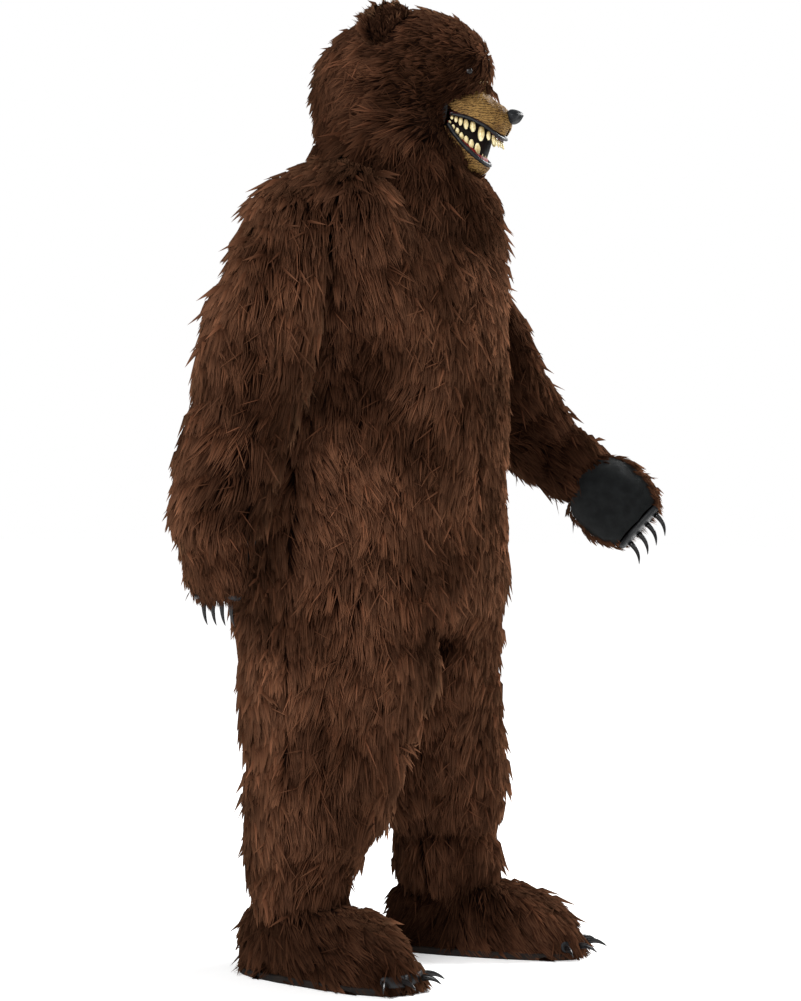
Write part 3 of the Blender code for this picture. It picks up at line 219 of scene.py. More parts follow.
def set_points(item: bpy.types.Object, points: Array) -> None:
    """Write a piece's points."""
    item.data.vertices.foreach_set("co", points.astype(np.float32).ravel())
    item.data.update()


def mesh_piece(name: str, points: Array, faces: Array, uv: Array | None = None,
               normals: Array | None = None) -> bpy.types.Object:
    """Make a joined mesh of triangles from arrays.

    Args:
        name: The piece's name.
        points: Places, one a row.
        faces: Three point numbers a row.
        uv: One pair a point.
        normals: One shading normal a point.

    Returns:
        The new object, at the origin.
    """
    mesh = bpy.data.meshes.new(name)
    mesh.vertices.add(len(points))
    mesh.vertices.foreach_set("co", points.astype(np.float32).ravel())
    mesh.loops.add(faces.size)
    mesh.loops.foreach_set("vertex_index", faces.astype(np.int32).ravel())
    mesh.polygons.add(len(faces))
    mesh.polygons.foreach_set("loop_start", np.arange(0, faces.size, 3, dtype=np.int32))
    mesh.update(calc_edges=True)
    mesh.shade_smooth()
    if uv is not None:
        layer = mesh.uv_layers.new(name="lock")
        layer.uv.foreach_set("vector", uv[faces.ravel()].astype(np.float32).ravel())
    if normals is not None:
        mesh.normals_split_custom_set_from_vertices(normals.astype(np.float32))
    return placed(name, mesh)


def surface_tree(node: str) -> BVHTree:
    """Make a search tree of a node's faces."""
    mesh = bpy.data.objects[node].data
    return BVHTree.FromPolygons([vertex.co for vertex in mesh.vertices],
                                [tuple(face.vertices) for face in mesh.polygons])


def away_from(tree: BVHTree, points: Array) -> Array:
    """Distance of each point from the faces of a search tree."""
    return np.array([tree.find_nearest(Vector(point))[3] for point in points])


def ride_and_dress(item: bpy.types.Object, finish: "Finish", slot: str, *nodes: str) -> None:
    """Give a piece its finish, its body and the nodes it stands for.

    Args:
        item: The piece.
        finish: What it is covered with.
        slot: The record's material slot; not used.
        nodes: Nodes that it replaces.
    """
    item.data.materials.clear()
    item.data.materials.append(finish.material())
    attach(item, ROOT_BODY)
    if nodes:
        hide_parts(*nodes)


def moulded(node: str, name: str, finish: "Finish", slot: str, angle: float = 50.0) -> None:
    """Stand a rounded copy in for a small moulded node.

    Args:
        node: The node it replaces.
        name: The new piece's name.
        finish: What it is covered with.
        slot: The record's material slot; passed on, not used.
        angle: Edges sharper than this many degrees stay sharp.
    """
    item = node_copy(node, name)
    round_off(item, 2)
    shade(item, angle)
    ride_and_dress(item, finish, slot, node)


# Shader building

Socket = bpy.types.NodeSocket


class Shader:
    """One material's node tree, with short calls for the nodes this costume needs."""

    def __init__(self, name: str) -> None:
        """Start a material with its Principled shader."""
        self.made = bpy.data.materials.new(name)
        self.made.use_nodes = True
        self.tree = self.made.node_tree
        self.surface = self.tree.nodes["Principled BSDF"]

    def set(self, **values: object) -> None:
        """Set constants on the Principled shader; underscores stand for spaces."""
        for key, value in values.items():
            self.surface.inputs[key.replace("_", " ")].default_value = value

    def node(self, kind: str, **settings: object) -> bpy.types.Node:
        """Add a node and set its properties."""
        made = self.tree.nodes.new(kind)
        for key, value in settings.items():
            setattr(made, key, value)
        return made

    def link(self, source: Socket, target: Socket) -> None:
        """Join two sockets."""
        self.tree.links.new(source, target)

    def group(self, group: bpy.types.NodeTree, **values: object) -> bpy.types.Node:
        """Place a shared effect with its own values; underscores stand for spaces."""
        made = self.node("ShaderNodeGroup", node_tree=group)
        for key, value in values.items():
            made.inputs[key.replace("_", " ")].default_value = value
        return made

    def bump(self, height: Socket, distance: float, strength: float = 1.0) -> None:
        """Feed the shader's normal from a height."""
        made = self.node("ShaderNodeBump")
        made.inputs["Distance"].default_value = distance
        made.inputs["Strength"].default_value = strength
        self.link(height, made.inputs["Height"])
        self.link(made.outputs["Normal"], self.surface.inputs["Normal"])

    def ramp(self, source: Socket, *stops: tuple[float, Colour]) -> Socket:
        """Colour a value by stops, each a position with a colour; gives the colour."""
        made = self.node("ShaderNodeValToRGB")
        elements = made.color_ramp.elements
        for number, (position, colour) in ((0, stops[0]), (1, stops[-1])):
            elements[number].position = position
            elements[number].color = rgba(colour)
        for position, colour in stops[1:-1]:
            elements.new(position).color = rgba(colour)
        self.link(source, made.inputs["Fac"])
        return made.outputs["Color"]

    def paint(self, *colours: Socket) -> None:
        """Multiply colours together and feed the shader's base colour."""
        product = colours[0]
        for colour in colours[1:]:
            mix = self.node("ShaderNodeMix", data_type="RGBA", blend_type="MULTIPLY")
            mix.inputs["Factor"].default_value = 1.0
            self.link(product, mix.inputs["A"])
            self.link(colour, mix.inputs["B"])
            product = mix.outputs["Result"]
        self.link(product, self.surface.inputs["Base Color"])

    def roughen(self, source: Socket, low: float, high: float) -> None:
        """Feed the shader's roughness from a value, brought between two ends."""
        made = self.node("ShaderNodeMapRange")
        made.inputs["To Min"].default_value = low
        made.inputs["To Max"].default_value = high
        self.link(source, made.inputs["Value"])
        self.link(made.outputs["Result"], self.surface.inputs["Roughness"])


class Effects:
    """Shared shader effects, each built once."""

    @staticmethod
    def start(name: str, inputs: dict[str, tuple[str, object]],
              outputs: dict[str, str]) -> tuple[bpy.types.NodeTree, bpy.types.Node, bpy.types.Node]:
        """Begin a group with named sockets.

        Args:
            name: The group's name.
            inputs: Socket kind and start value by name.
            outputs: Socket kind by name.

        Returns:
            The tree with its input and output nodes.
        """
        tree = bpy.data.node_groups.new(name, "ShaderNodeTree")
        for key, (kind, value) in inputs.items():
            tree.interface.new_socket(key, in_out="INPUT", socket_type=kind).default_value = value
        for key, kind in outputs.items():
            tree.interface.new_socket(key, in_out="OUTPUT", socket_type=kind)
        return tree, tree.nodes.new("NodeGroupInput"), tree.nodes.new("NodeGroupOutput")

    @staticmethod
    @cache
    def mottle() -> bpy.types.NodeTree:
        """Two colours mixed by soft noise on the piece, with the noise as a mask."""
        tree, start, end = Effects.start(
            "mottle",
            {"First": ("NodeSocketColor", (0, 0, 0, 1)), "Second": ("NodeSocketColor", (1, 1, 1, 1)),
             "Scale": ("NodeSocketFloat", 20.0), "Detail": ("NodeSocketFloat", 4.0),
             "Low": ("NodeSocketFloat", 0.35), "High": ("NodeSocketFloat", 0.65)},
            {"Color": "NodeSocketColor", "Mask": "NodeSocketFloat"})
        place, noise, ease, mix = (tree.nodes.new(f"ShaderNode{kind}")
                                   for kind in ("TexCoord", "TexNoise", "MapRange", "Mix"))
        mix.data_type = "RGBA"
        for source, target in (
                (place.outputs["Object"], noise.inputs["Vector"]),
                (start.outputs["Scale"], noise.inputs["Scale"]),
                (start.outputs["Detail"], noise.inputs["Detail"]),
                (noise.outputs["Fac"], ease.inputs["Value"]),
                (start.outputs["Low"], ease.inputs["From Min"]),
                (start.outputs["High"], ease.inputs["From Max"]),
                (ease.outputs["Result"], mix.inputs["Factor"]),
                (start.outputs["First"], mix.inputs["A"]),
                (start.outputs["Second"], mix.inputs["B"]),
                (mix.outputs["Result"], end.inputs["Color"]),
                (ease.outputs["Result"], end.inputs["Mask"])):
            tree.links.new(source, target)
        return tree

    @staticmethod
    @cache
    def grain() -> bpy.types.NodeTree:
        """Fine pores and swells as one height."""
        tree, start, end = Effects.start(
            "grain", {"Pores": ("NodeSocketFloat", 900.0), "Swells": ("NodeSocketFloat", 60.0),
                      "Swell Share": ("NodeSocketFloat", 0.5)}, {"Height": "NodeSocketFloat"})
        place, pores, swells, mix = (tree.nodes.new(f"ShaderNode{kind}")
                                     for kind in ("TexCoord", "TexVoronoi", "TexNoise", "Mix"))
        for source, target in (
                (place.outputs["Object"], pores.inputs["Vector"]),
                (place.outputs["Object"], swells.inputs["Vector"]),
                (start.outputs["Pores"], pores.inputs["Scale"]),
                (start.outputs["Swells"], swells.inputs["Scale"]),
                (start.outputs["Swell Share"], mix.inputs["Factor"]),
                (pores.outputs["Distance"], mix.inputs["A"]),
                (swells.outputs["Fac"], mix.inputs["B"]),
                (mix.outputs["Result"], end.inputs["Height"])):
            tree.links.new(source, target)
        return tree

    @staticmethod
    @cache
    def weave() -> bpy.types.NodeTree:
        """Crossed threads as one height, for the palm cloth, the zip tape and the fur's backing."""
        tree, start, end = Effects.start(
            "weave", {"Threads": ("NodeSocketFloat", 260.0)}, {"Height": "NodeSocketFloat"})
        place = tree.nodes.new("ShaderNodeTexCoord")
        highest = tree.nodes.new("ShaderNodeMath")
        highest.operation = "MAXIMUM"
        for number, direction in enumerate(("Y", "Z")):
            wave = tree.nodes.new("ShaderNodeTexWave")
            wave.bands_direction = direction
            wave.inputs["Distortion"].default_value = 0.6
            wave.inputs["Detail"].default_value = 1.0
            tree.links.new(place.outputs["Object"], wave.inputs["Vector"])
            tree.links.new(start.outputs["Threads"], wave.inputs["Scale"])
            tree.links.new(wave.outputs["Fac"], highest.inputs[number])
        tree.links.new(highest.outputs["Value"], end.inputs["Height"])
        return tree


def rgba(colour: Colour) -> tuple[float, float, float, float]:
    """Add full alpha to a colour."""
    return (*colour, 1.0)


class Finish:
    """What a piece is covered with; each finish builds its material once."""

    made: dict[str, bpy.types.Material] = {}
    name: str = "plain"

    def material(self) -> bpy.types.Material:
        """Build the material, or give the one already built."""
        if self.name not in Finish.made:
            Finish.made[self.name] = self.build()
        return Finish.made[self.name]

    def build(self) -> bpy.types.Material:
        """Build the node tree."""
        raise NotImplementedError


@dataclass(frozen=True)
class PileFinish(Finish):
    """Fake fur locks: dark at the root, partly own colour and partly painted shade, reddish brown along,
    paler and warmer at the tip.
    """

    name: str = "fur_pile"
    # The dark root is partly painted shade deep in the pile.
    root: Colour = (0.0070, 0.0030, 0.0018)
    middle: Colour = (0.038, 0.0170, 0.0095)
    tip: Colour = (0.106, 0.0530, 0.0310)
    lock_tones: tuple[tuple[float, Colour], ...] = (
        (0.0, (0.26, 0.24, 0.24)), (0.45, (0.82, 0.78, 0.77)), (0.78, (1.25, 1.15, 1.08)),
        (1.0, (1.95, 1.72, 1.62)))
    # Broad patches vary the tone at random; their darker parts are partly painted shade of the fur's folds.
    patch_dark: Colour = (0.45, 0.41, 0.39)
    patch_light: Colour = (1.26, 1.20, 1.16)
    patch_scale: float = 5.5
    tip_roughness: float = 0.62
    root_roughness: float = 0.82
    sheen: float = 0.16
    sheen_tint: Colour = (0.60, 0.31, 0.17)

    def build(self) -> bpy.types.Material:
        """Colour runs along each lock and varies from lock to lock and over the cloth."""
        shader = Shader(self.name)
        uv = shader.node("ShaderNodeUVMap", uv_map="lock")
        parts = shader.node("ShaderNodeSeparateXYZ")
        shader.link(uv.outputs["UV"], parts.inputs["Vector"])
        along = shader.ramp(parts.outputs["Y"], (0.0, self.root), (0.42, self.middle), (1.0, self.tip))
        lock_tone = shader.ramp(parts.outputs["X"], *self.lock_tones)
        patch = shader.group(Effects.mottle(), First=rgba(self.patch_dark), Second=rgba(self.patch_light),
                             Scale=self.patch_scale, Detail=3.0, Low=0.34, High=0.62)
        shader.paint(along, lock_tone, patch.outputs["Color"])
        shader.roughen(parts.outputs["Y"], self.root_roughness, self.tip_roughness)
        shader.set(Specular_IOR_Level=0.0, Sheen_Weight=self.sheen, Sheen_Roughness=0.40,
                   Sheen_Tint=rgba(self.sheen_tint))
        return shader.made


@dataclass(frozen=True)
class ClothFinish(Finish):
    """Crossed threads: plain black cloth of the palms and the zip tape, or the fur's backing."""

    name: str = "black_cloth"
    first: Colour = (0.0030, 0.0036, 0.0038)
    second: Colour = (0.0072, 0.0084, 0.0086)
    tone_scale: float = 55.0
    threads: float = 420.0
    relief: float = 0.0005
    roughness: float = 0.86
    specular: float = 0.10
    sheen: float = 0.02

    def build(self) -> bpy.types.Material:
        """Crossed threads with patches of tone and a little sheen."""
        shader = Shader(self.name)
        tone = shader.group(Effects.mottle(), First=rgba(self.first), Second=rgba(self.second),
                            Scale=self.tone_scale)
        shader.paint(tone.outputs["Color"])
        cloth = shader.group(Effects.weave(), Threads=self.threads)
        shader.bump(cloth.outputs["Height"], self.relief)
        shader.set(Roughness=self.roughness, Specular_IOR_Level=self.specular, Sheen_Weight=self.sheen,
                   Sheen_Roughness=0.5)
        return shader.made


@dataclass(frozen=True)
class SnoutFinish(Finish):
    """Painted latex of the snout: tan, darker in its wrinkles, partly paint and partly painted shade."""

    name: str = "snout_latex"
    # Crease and shadow darken the wrinkles, partly paint and partly painted shade; light is partly painted
    # light on the ridges.
    crease: Colour = (0.014, 0.006, 0.002)
    shadow: Colour = (0.075, 0.040, 0.011)
    light: Colour = (0.180, 0.106, 0.034)
    wash_dark: Colour = (0.58, 0.50, 0.42)
    wash_light: Colour = (1.10, 1.08, 1.04)
    line_scale: float = 88.0
    blotch_scale: float = 190.0
    blotch_share: float = 0.66
    stretch: Place = (1.0, 0.26, 0.80)
    relief: float = 0.0016
    turn: float = 0.0

    def build(self) -> bpy.types.Material:
        """Wrinkle lines run along the snout: noise stretched forward, in colour and in height."""
        shader = Shader(self.name)
        place = shader.node("ShaderNodeTexCoord")
        turned = shader.node("ShaderNodeMapping")
        turned.inputs["Rotation"].default_value = (0.0, 0.0, -self.turn)
        turned.inputs["Scale"].default_value = self.stretch
        shader.link(place.outputs["Object"], turned.inputs["Vector"])
        lines = shader.node("ShaderNodeTexWave", bands_direction="Z")
        blotches = shader.node("ShaderNodeTexNoise")
        wrinkles = shader.node("ShaderNodeMix")
        wrinkles.inputs["Factor"].default_value = self.blotch_share
        for made, target, values in (
                (lines, "A", {"Scale": self.line_scale, "Distortion": 14.0, "Detail": 4.0,
                              "Detail Scale": 0.9, "Detail Roughness": 0.68}),
                (blotches, "B", {"Scale": self.blotch_scale, "Detail": 5.0, "Distortion": 1.8})):
            for key, value in values.items():
                made.inputs[key].default_value = value
            shader.link(turned.outputs["Vector"], made.inputs["Vector"])
            shader.link(made.outputs["Fac"], wrinkles.inputs[target])
        ridges = shader.ramp(wrinkles.outputs["Result"], (0.26, self.crease), (0.38, self.shadow),
                             (0.62, self.light))
        wash = shader.group(Effects.mottle(), First=rgba(self.wash_dark), Second=rgba(self.wash_light),
                            Scale=26.0, Detail=3.0, Low=0.32, High=0.60)
        shader.paint(ridges, wash.outputs["Color"])
        shader.bump(wrinkles.outputs["Result"], self.relief, 0.9)
        shader.set(Roughness=0.62, Specular_IOR_Level=0.10)
        return shader.made


@dataclass(frozen=True)
class MouldedFinish(Finish):
    """Moulded rubber, latex or horn in one colour pair with fine pores."""

    name: str = "charcoal_latex"
    first: Colour = (0.0040, 0.0044, 0.0050)
    second: Colour = (0.0120, 0.0128, 0.0140)
    roughness: float = 0.42
    coat: float = 0.0
    specular: float = 0.18
    pores: float = 900.0
    relief: float = 0.0004
    tone_scale: float = 45.0

    def build(self) -> bpy.types.Material:
        """Mottled colour, patchy gloss and a pored surface."""
        shader = Shader(self.name)
        tone = shader.group(Effects.mottle(), First=rgba(self.first), Second=rgba(self.second),
                            Scale=self.tone_scale, Detail=5.0)
        shader.paint(tone.outputs["Color"])
        shader.roughen(tone.outputs["Mask"], self.roughness * 0.8, self.roughness * 1.25)
        grain = shader.group(Effects.grain(), Pores=self.pores, Swells=self.pores / 9.0)
        shader.bump(grain.outputs["Height"], self.relief)
        shader.set(Coat_Weight=self.coat, Coat_Roughness=0.12, Specular_IOR_Level=self.specular)
        return shader.made


@dataclass(frozen=True)
class ToothFinish(Finish):
    """Painted teeth: ivory bodies, darker and yellower towards the gum."""

    name: str = "tooth_ivory"
    gum_end: Colour = (0.120, 0.070, 0.022)
    body: Colour = (0.480, 0.390, 0.185)
    tip: Colour = (0.640, 0.560, 0.330)
    stain: Colour = (0.66, 0.56, 0.40)

    def build(self) -> bpy.types.Material:
        """Colour runs from the gum to the tip along the piece's own attribute."""
        shader = Shader(self.name)
        share = shader.node("ShaderNodeAttribute", attribute_name="tooth_share")
        along = shader.ramp(share.outputs["Fac"], (0.0, self.gum_end), (0.42, self.body), (1.0, self.tip))
        stain = shader.group(Effects.mottle(), First=rgba(self.stain), Second=rgba((1.0, 1.0, 1.0)),
                             Scale=170.0, Detail=4.0, Low=0.30, High=0.52)
        shader.paint(along, stain.outputs["Color"])
        grain = shader.group(Effects.grain(), Pores=700.0, Swells=240.0)
        shader.bump(grain.outputs["Height"], 0.0004)
        shader.set(Roughness=0.30, Specular_IOR_Level=0.5)
        return shader.made


PILE = PileFinish()
# A darker copy of the pile for the hood, ears, shoes, mask edges and raised left sleeve: partly the fur's
# own tone, partly painted shade on the far sleeve and round the mouth.
PILE_DARK = PileFinish(name="fur_pile_dark", root=(0.0038, 0.0017, 0.0010),
                       middle=(0.0225, 0.0101, 0.0057), tip=(0.0630, 0.0310, 0.0180))
BACKING = ClothFinish(name="fur_backing", first=(0.0060, 0.0027, 0.0018), second=(0.0130, 0.0058, 0.0036),
                      tone_scale=40.0, threads=320.0, relief=0.0006, roughness=0.9, specular=0.0, sheen=0.0)
LATEX = MouldedFinish()
FLESH = MouldedFinish(name="mouth_flesh", first=(0.050, 0.0040, 0.0040), second=(0.190, 0.016, 0.015),
                      roughness=0.50, specular=0.04, pores=500.0, relief=0.0006, tone_scale=90.0)
# Near-black for the mouth's inside: painted shade in its depth.
MOUTH_DARK = MouldedFinish(name="mouth_inside", first=(0.002, 0.0014, 0.0012), second=(0.006, 0.003, 0.0026),
                           roughness=0.8, specular=0.06, pores=400.0)
GUM_DARK = MouldedFinish(name="gum_shaded", first=(0.010, 0.0022, 0.0028), second=(0.048, 0.0080, 0.0110),
                         roughness=0.34, coat=0.10, pores=500.0, relief=0.0005, tone_scale=90.0)
TOOTH = ToothFinish()
HORN = MouldedFinish(name="claw_horn", first=(0.0034, 0.0032, 0.0034), second=(0.0120, 0.0112, 0.0112),
                     roughness=0.26, coat=0.12, pores=260.0, relief=0.0003, tone_scale=70.0)
NOSE_SKIN = MouldedFinish(name="nose_skin", first=(0.0034, 0.0038, 0.0042), second=(0.0110, 0.0120, 0.0135),
                          roughness=0.40, coat=0.03, specular=0.12, pores=620.0, relief=0.0008)
EYE_GLASS = MouldedFinish(name="eye_glass", first=(0.004, 0.002, 0.0015), second=(0.022, 0.010, 0.006),
                          roughness=0.16, coat=0.04, specular=0.20, pores=120.0, relief=0.00005)
SOLE = MouldedFinish(name="sole_rubber", first=(0.0050, 0.0036, 0.0030), second=(0.0135, 0.0098, 0.0080),
                     roughness=0.70, specular=0.12, pores=420.0, relief=0.0009)
CLOTH = ClothFinish()
ZIP_METAL = MouldedFinish(name="zip_black", first=(0.006, 0.006, 0.007), second=(0.016, 0.016, 0.018),
                          roughness=0.30, coat=0.2, pores=1400.0, relief=0.0001)


# Where things are on the figure

DOWN = np.array([0.0, 0.0, -1.0])


@dataclass(frozen=True)
class HeadFrame:
    """The mask's own directions: it looks a little to the figure's left."""

    turn: float = math.radians(10.0)
    pivot_y: float = -0.05

    @property
    def forward(self) -> Array:
        """Direction of the snout."""
        return np.array([math.sin(self.turn), -math.cos(self.turn), 0.0])

    @property
    def right(self) -> Array:
        """Direction of the mask's right side."""
        return np.array([-math.cos(self.turn), -math.sin(self.turn), 0.0])

    def place(self, local: Array) -> Array:
        """Bring forward, right and height above the floor to the row's frame.

        Args:
            local: Forward, right and height, along the last axis.

        Returns:
            Points in the row's frame.
        """
        local = np.asarray(local, float)
        pivot = np.array([0.0, self.pivot_y, FLOOR])
        return (pivot + local[..., :1] * self.forward + local[..., 1:2] * self.right
                - local[..., 2:] * DOWN)

    def local(self, points: Array) -> Array:
        """Give forward, right and height above the floor of points in the row's frame."""
        away = points - np.array([0.0, self.pivot_y, FLOOR])
        return np.stack([away @ self.forward, away @ self.right, away[..., 2]], axis=-1)


HEAD = HeadFrame()


class Sweep(Enum):
    """Which way the pile is brushed."""

    BODY = "down the body and legs"
    RIGHT_SLEEVE = "down the hanging sleeve"
    LEFT_SLEEVE = "along the raised sleeve"
    HOOD = "back over the head and down the bib"
    EAR = "up and back over the ear"
    RIGHT_MITT = "to the right claws"
    LEFT_MITT = "to the left claws"
    RIGHT_SHOE = "out over the right foot"
    LEFT_SHOE = "out over the left foot"


SHOE_CENTRES = {Sweep.RIGHT_SHOE: (-0.198, 0.030), Sweep.LEFT_SHOE: (0.200, -0.085)}
EAR_FEET = ((0.045, 0.110, 1.745), (0.045, -0.110, 1.745))
LEFT_SLEEVE_WAYS = ((0.45, -0.25, -1.0), (0.20, -0.66, -0.90))
MITT_AXES = {Sweep.RIGHT_MITT: (-0.03, 0.0, -1.0), Sweep.LEFT_MITT: (0.18, -0.72, -0.68)}


def sweep_directions(sweep: Sweep, points: Array, normals: Array) -> Array:
    """Brushed direction of the pile at each root, not yet laid on the cloth.

    Args:
        sweep: Which way the cloth is brushed.
        points: Roots in the row's frame.
        normals: The cloth's normals there.

    Returns:
        Directions, one a root.
    """
    count = len(points)
    if sweep in MITT_AXES:
        return np.tile(unit(np.array(MITT_AXES[sweep])), (count, 1))
    if sweep in SHOE_CENTRES:
        away = points[:, :2] - np.array(SHOE_CENTRES[sweep])
        out = unit(np.concatenate([away, np.zeros((count, 1))], axis=1))
        return out + DOWN * 0.75
    if sweep is Sweep.LEFT_SLEEVE:
        share = smooth_step(points[:, 2], -0.18, -0.44)[:, None]
        upper, lower = (unit(np.array(way)) for way in LEFT_SLEEVE_WAYS)
        return upper * (1 - share) + lower * share
    if sweep is Sweep.RIGHT_SLEEVE:
        return np.tile(np.array([-0.18, 0.05, -1.0]), (count, 1))
    if sweep is Sweep.EAR:
        feet = HEAD.place(EAR_FEET)
        nearest = np.linalg.norm(points[:, None] - feet[None], axis=2).argmin(axis=1)
        return unit(points - feet[nearest]) - HEAD.forward * 0.55
    if sweep is Sweep.HOOD:
        local = HEAD.local(points)
        bib = smooth_step(local[:, 2], 1.665, 1.585)[:, None]
        rear = smooth_step(local[:, 0], 0.02, -0.10)[:, None]
        over = -HEAD.forward + DOWN * 0.28
        behind = -HEAD.forward * 0.35 + DOWN
        below = -HEAD.forward * 0.12 + DOWN
        return (over * (1 - rear) + behind * rear) * (1 - bib) + below * bib
    return np.tile(DOWN, (count, 1)) + normals * [0.25, 0.25, 0.0]


@dataclass(frozen=True)
class Crease:
    """A soft trough along a straight run of the cloth."""

    start: Place
    end: Place
    spread: float
    depth: float

    def offset(self, points: Array) -> Array:
        """How far it moves each point inwards.

        Args:
            points: Places in the row's frame.

        Returns:
            One depth a place.
        """
        start = np.array(self.start) + [0.0, 0.0, FLOOR]
        run = np.array(self.end) + [0.0, 0.0, FLOOR] - start
        share = np.clip((points - start) @ run / (run @ run), 0.0, 1.0)
        away = np.linalg.norm(points - start - share[:, None] * run, axis=1)
        return self.depth * np.exp(-(away / self.spread) ** 2)


def creases_of(rows: Rows) -> tuple[Crease, ...]:
    """Read creases from rows of start, end, spread and depth, with heights above the floor."""
    return tuple(Crease(row[:3], row[3:6], *row[6:]) for row in rows)


@dataclass
class RootSurface:
    """The cloth face that the pile grows from, with the pile's depth and an added tone at each point, mostly
    painted shade.
    """

    points: Array
    normals: Array
    depth: Array
    tone: Array
    triangles: Array

    @classmethod
    def of(cls, item: bpy.types.Object, depth: Array, tone: Array | None = None,
           wanted: Array | None = None) -> "RootSurface":
        """Read a piece's surface.

        Args:
            item: The piece.
            depth: Depth of the pile at each point.
            tone: Added to the locks' tone at each point; it carries painted shade.
            wanted: Points where pile grows; everywhere if left out.

        Returns:
            The surface.
        """
        item.data.calc_loop_triangles()
        corners = np.empty(len(item.data.loop_triangles) * 3, dtype=np.int32)
        item.data.loop_triangles.foreach_get("vertices", corners)
        triangles = corners.reshape(-1, 3)
        if wanted is not None:
            triangles = triangles[wanted[triangles].all(axis=1)]
        tone = np.zeros(len(depth)) if tone is None else tone
        return cls(points_of(item), normals_of(item), depth, tone, triangles)

    @property
    def area(self) -> float:
        """Area in square metres."""
        first, second, third = (self.points[self.triangles[:, k]] for k in range(3))
        return float(np.linalg.norm(np.cross(second - first, third - first), axis=1).sum() / 2)


@dataclass(frozen=True)
class Tufts:
    """How locks gather: their spacing as a share of the locks, their pull and their spread."""

    share: float
    pull: float
    turn: float
    lift: float

    def gather(self, roots: Array, rng: np.random.Generator) -> "Gathering":
        """Give each root the number of its nearest tuft.

        Args:
            roots: Roots, one a row.
            rng: Random source.

        Returns:
            Who belongs to which tuft.
        """
        count = max(int(len(roots) * self.share), 1)
        tree = KDTree(count)
        for number, place in enumerate(roots[rng.choice(len(roots), count, replace=False)]):
            tree.insert(place, number)
        tree.balance()
        return Gathering(self, np.array([tree.find(place)[1] for place in roots]), count)


@dataclass(frozen=True)
class Gathering:
    """Which tuft each lock of a pile belongs to."""

    habit: Tufts
    number: Array
    count: int

    def draw_in(self, places: Array, share: Array) -> None:
        """Pull places towards the middle of their tuft.

        Args:
            places: Places, changed here.
            share: How far each goes, as a share of the tufts' own pull.
        """
        members = np.maximum(np.bincount(self.number, minlength=self.count), 1)[:, None]
        sums = [np.bincount(self.number, places[:, k], self.count) for k in range(3)]
        middle = np.stack(sums, axis=1) / members
        places += (middle[self.number] - places) * (self.habit.pull * share)[:, None]


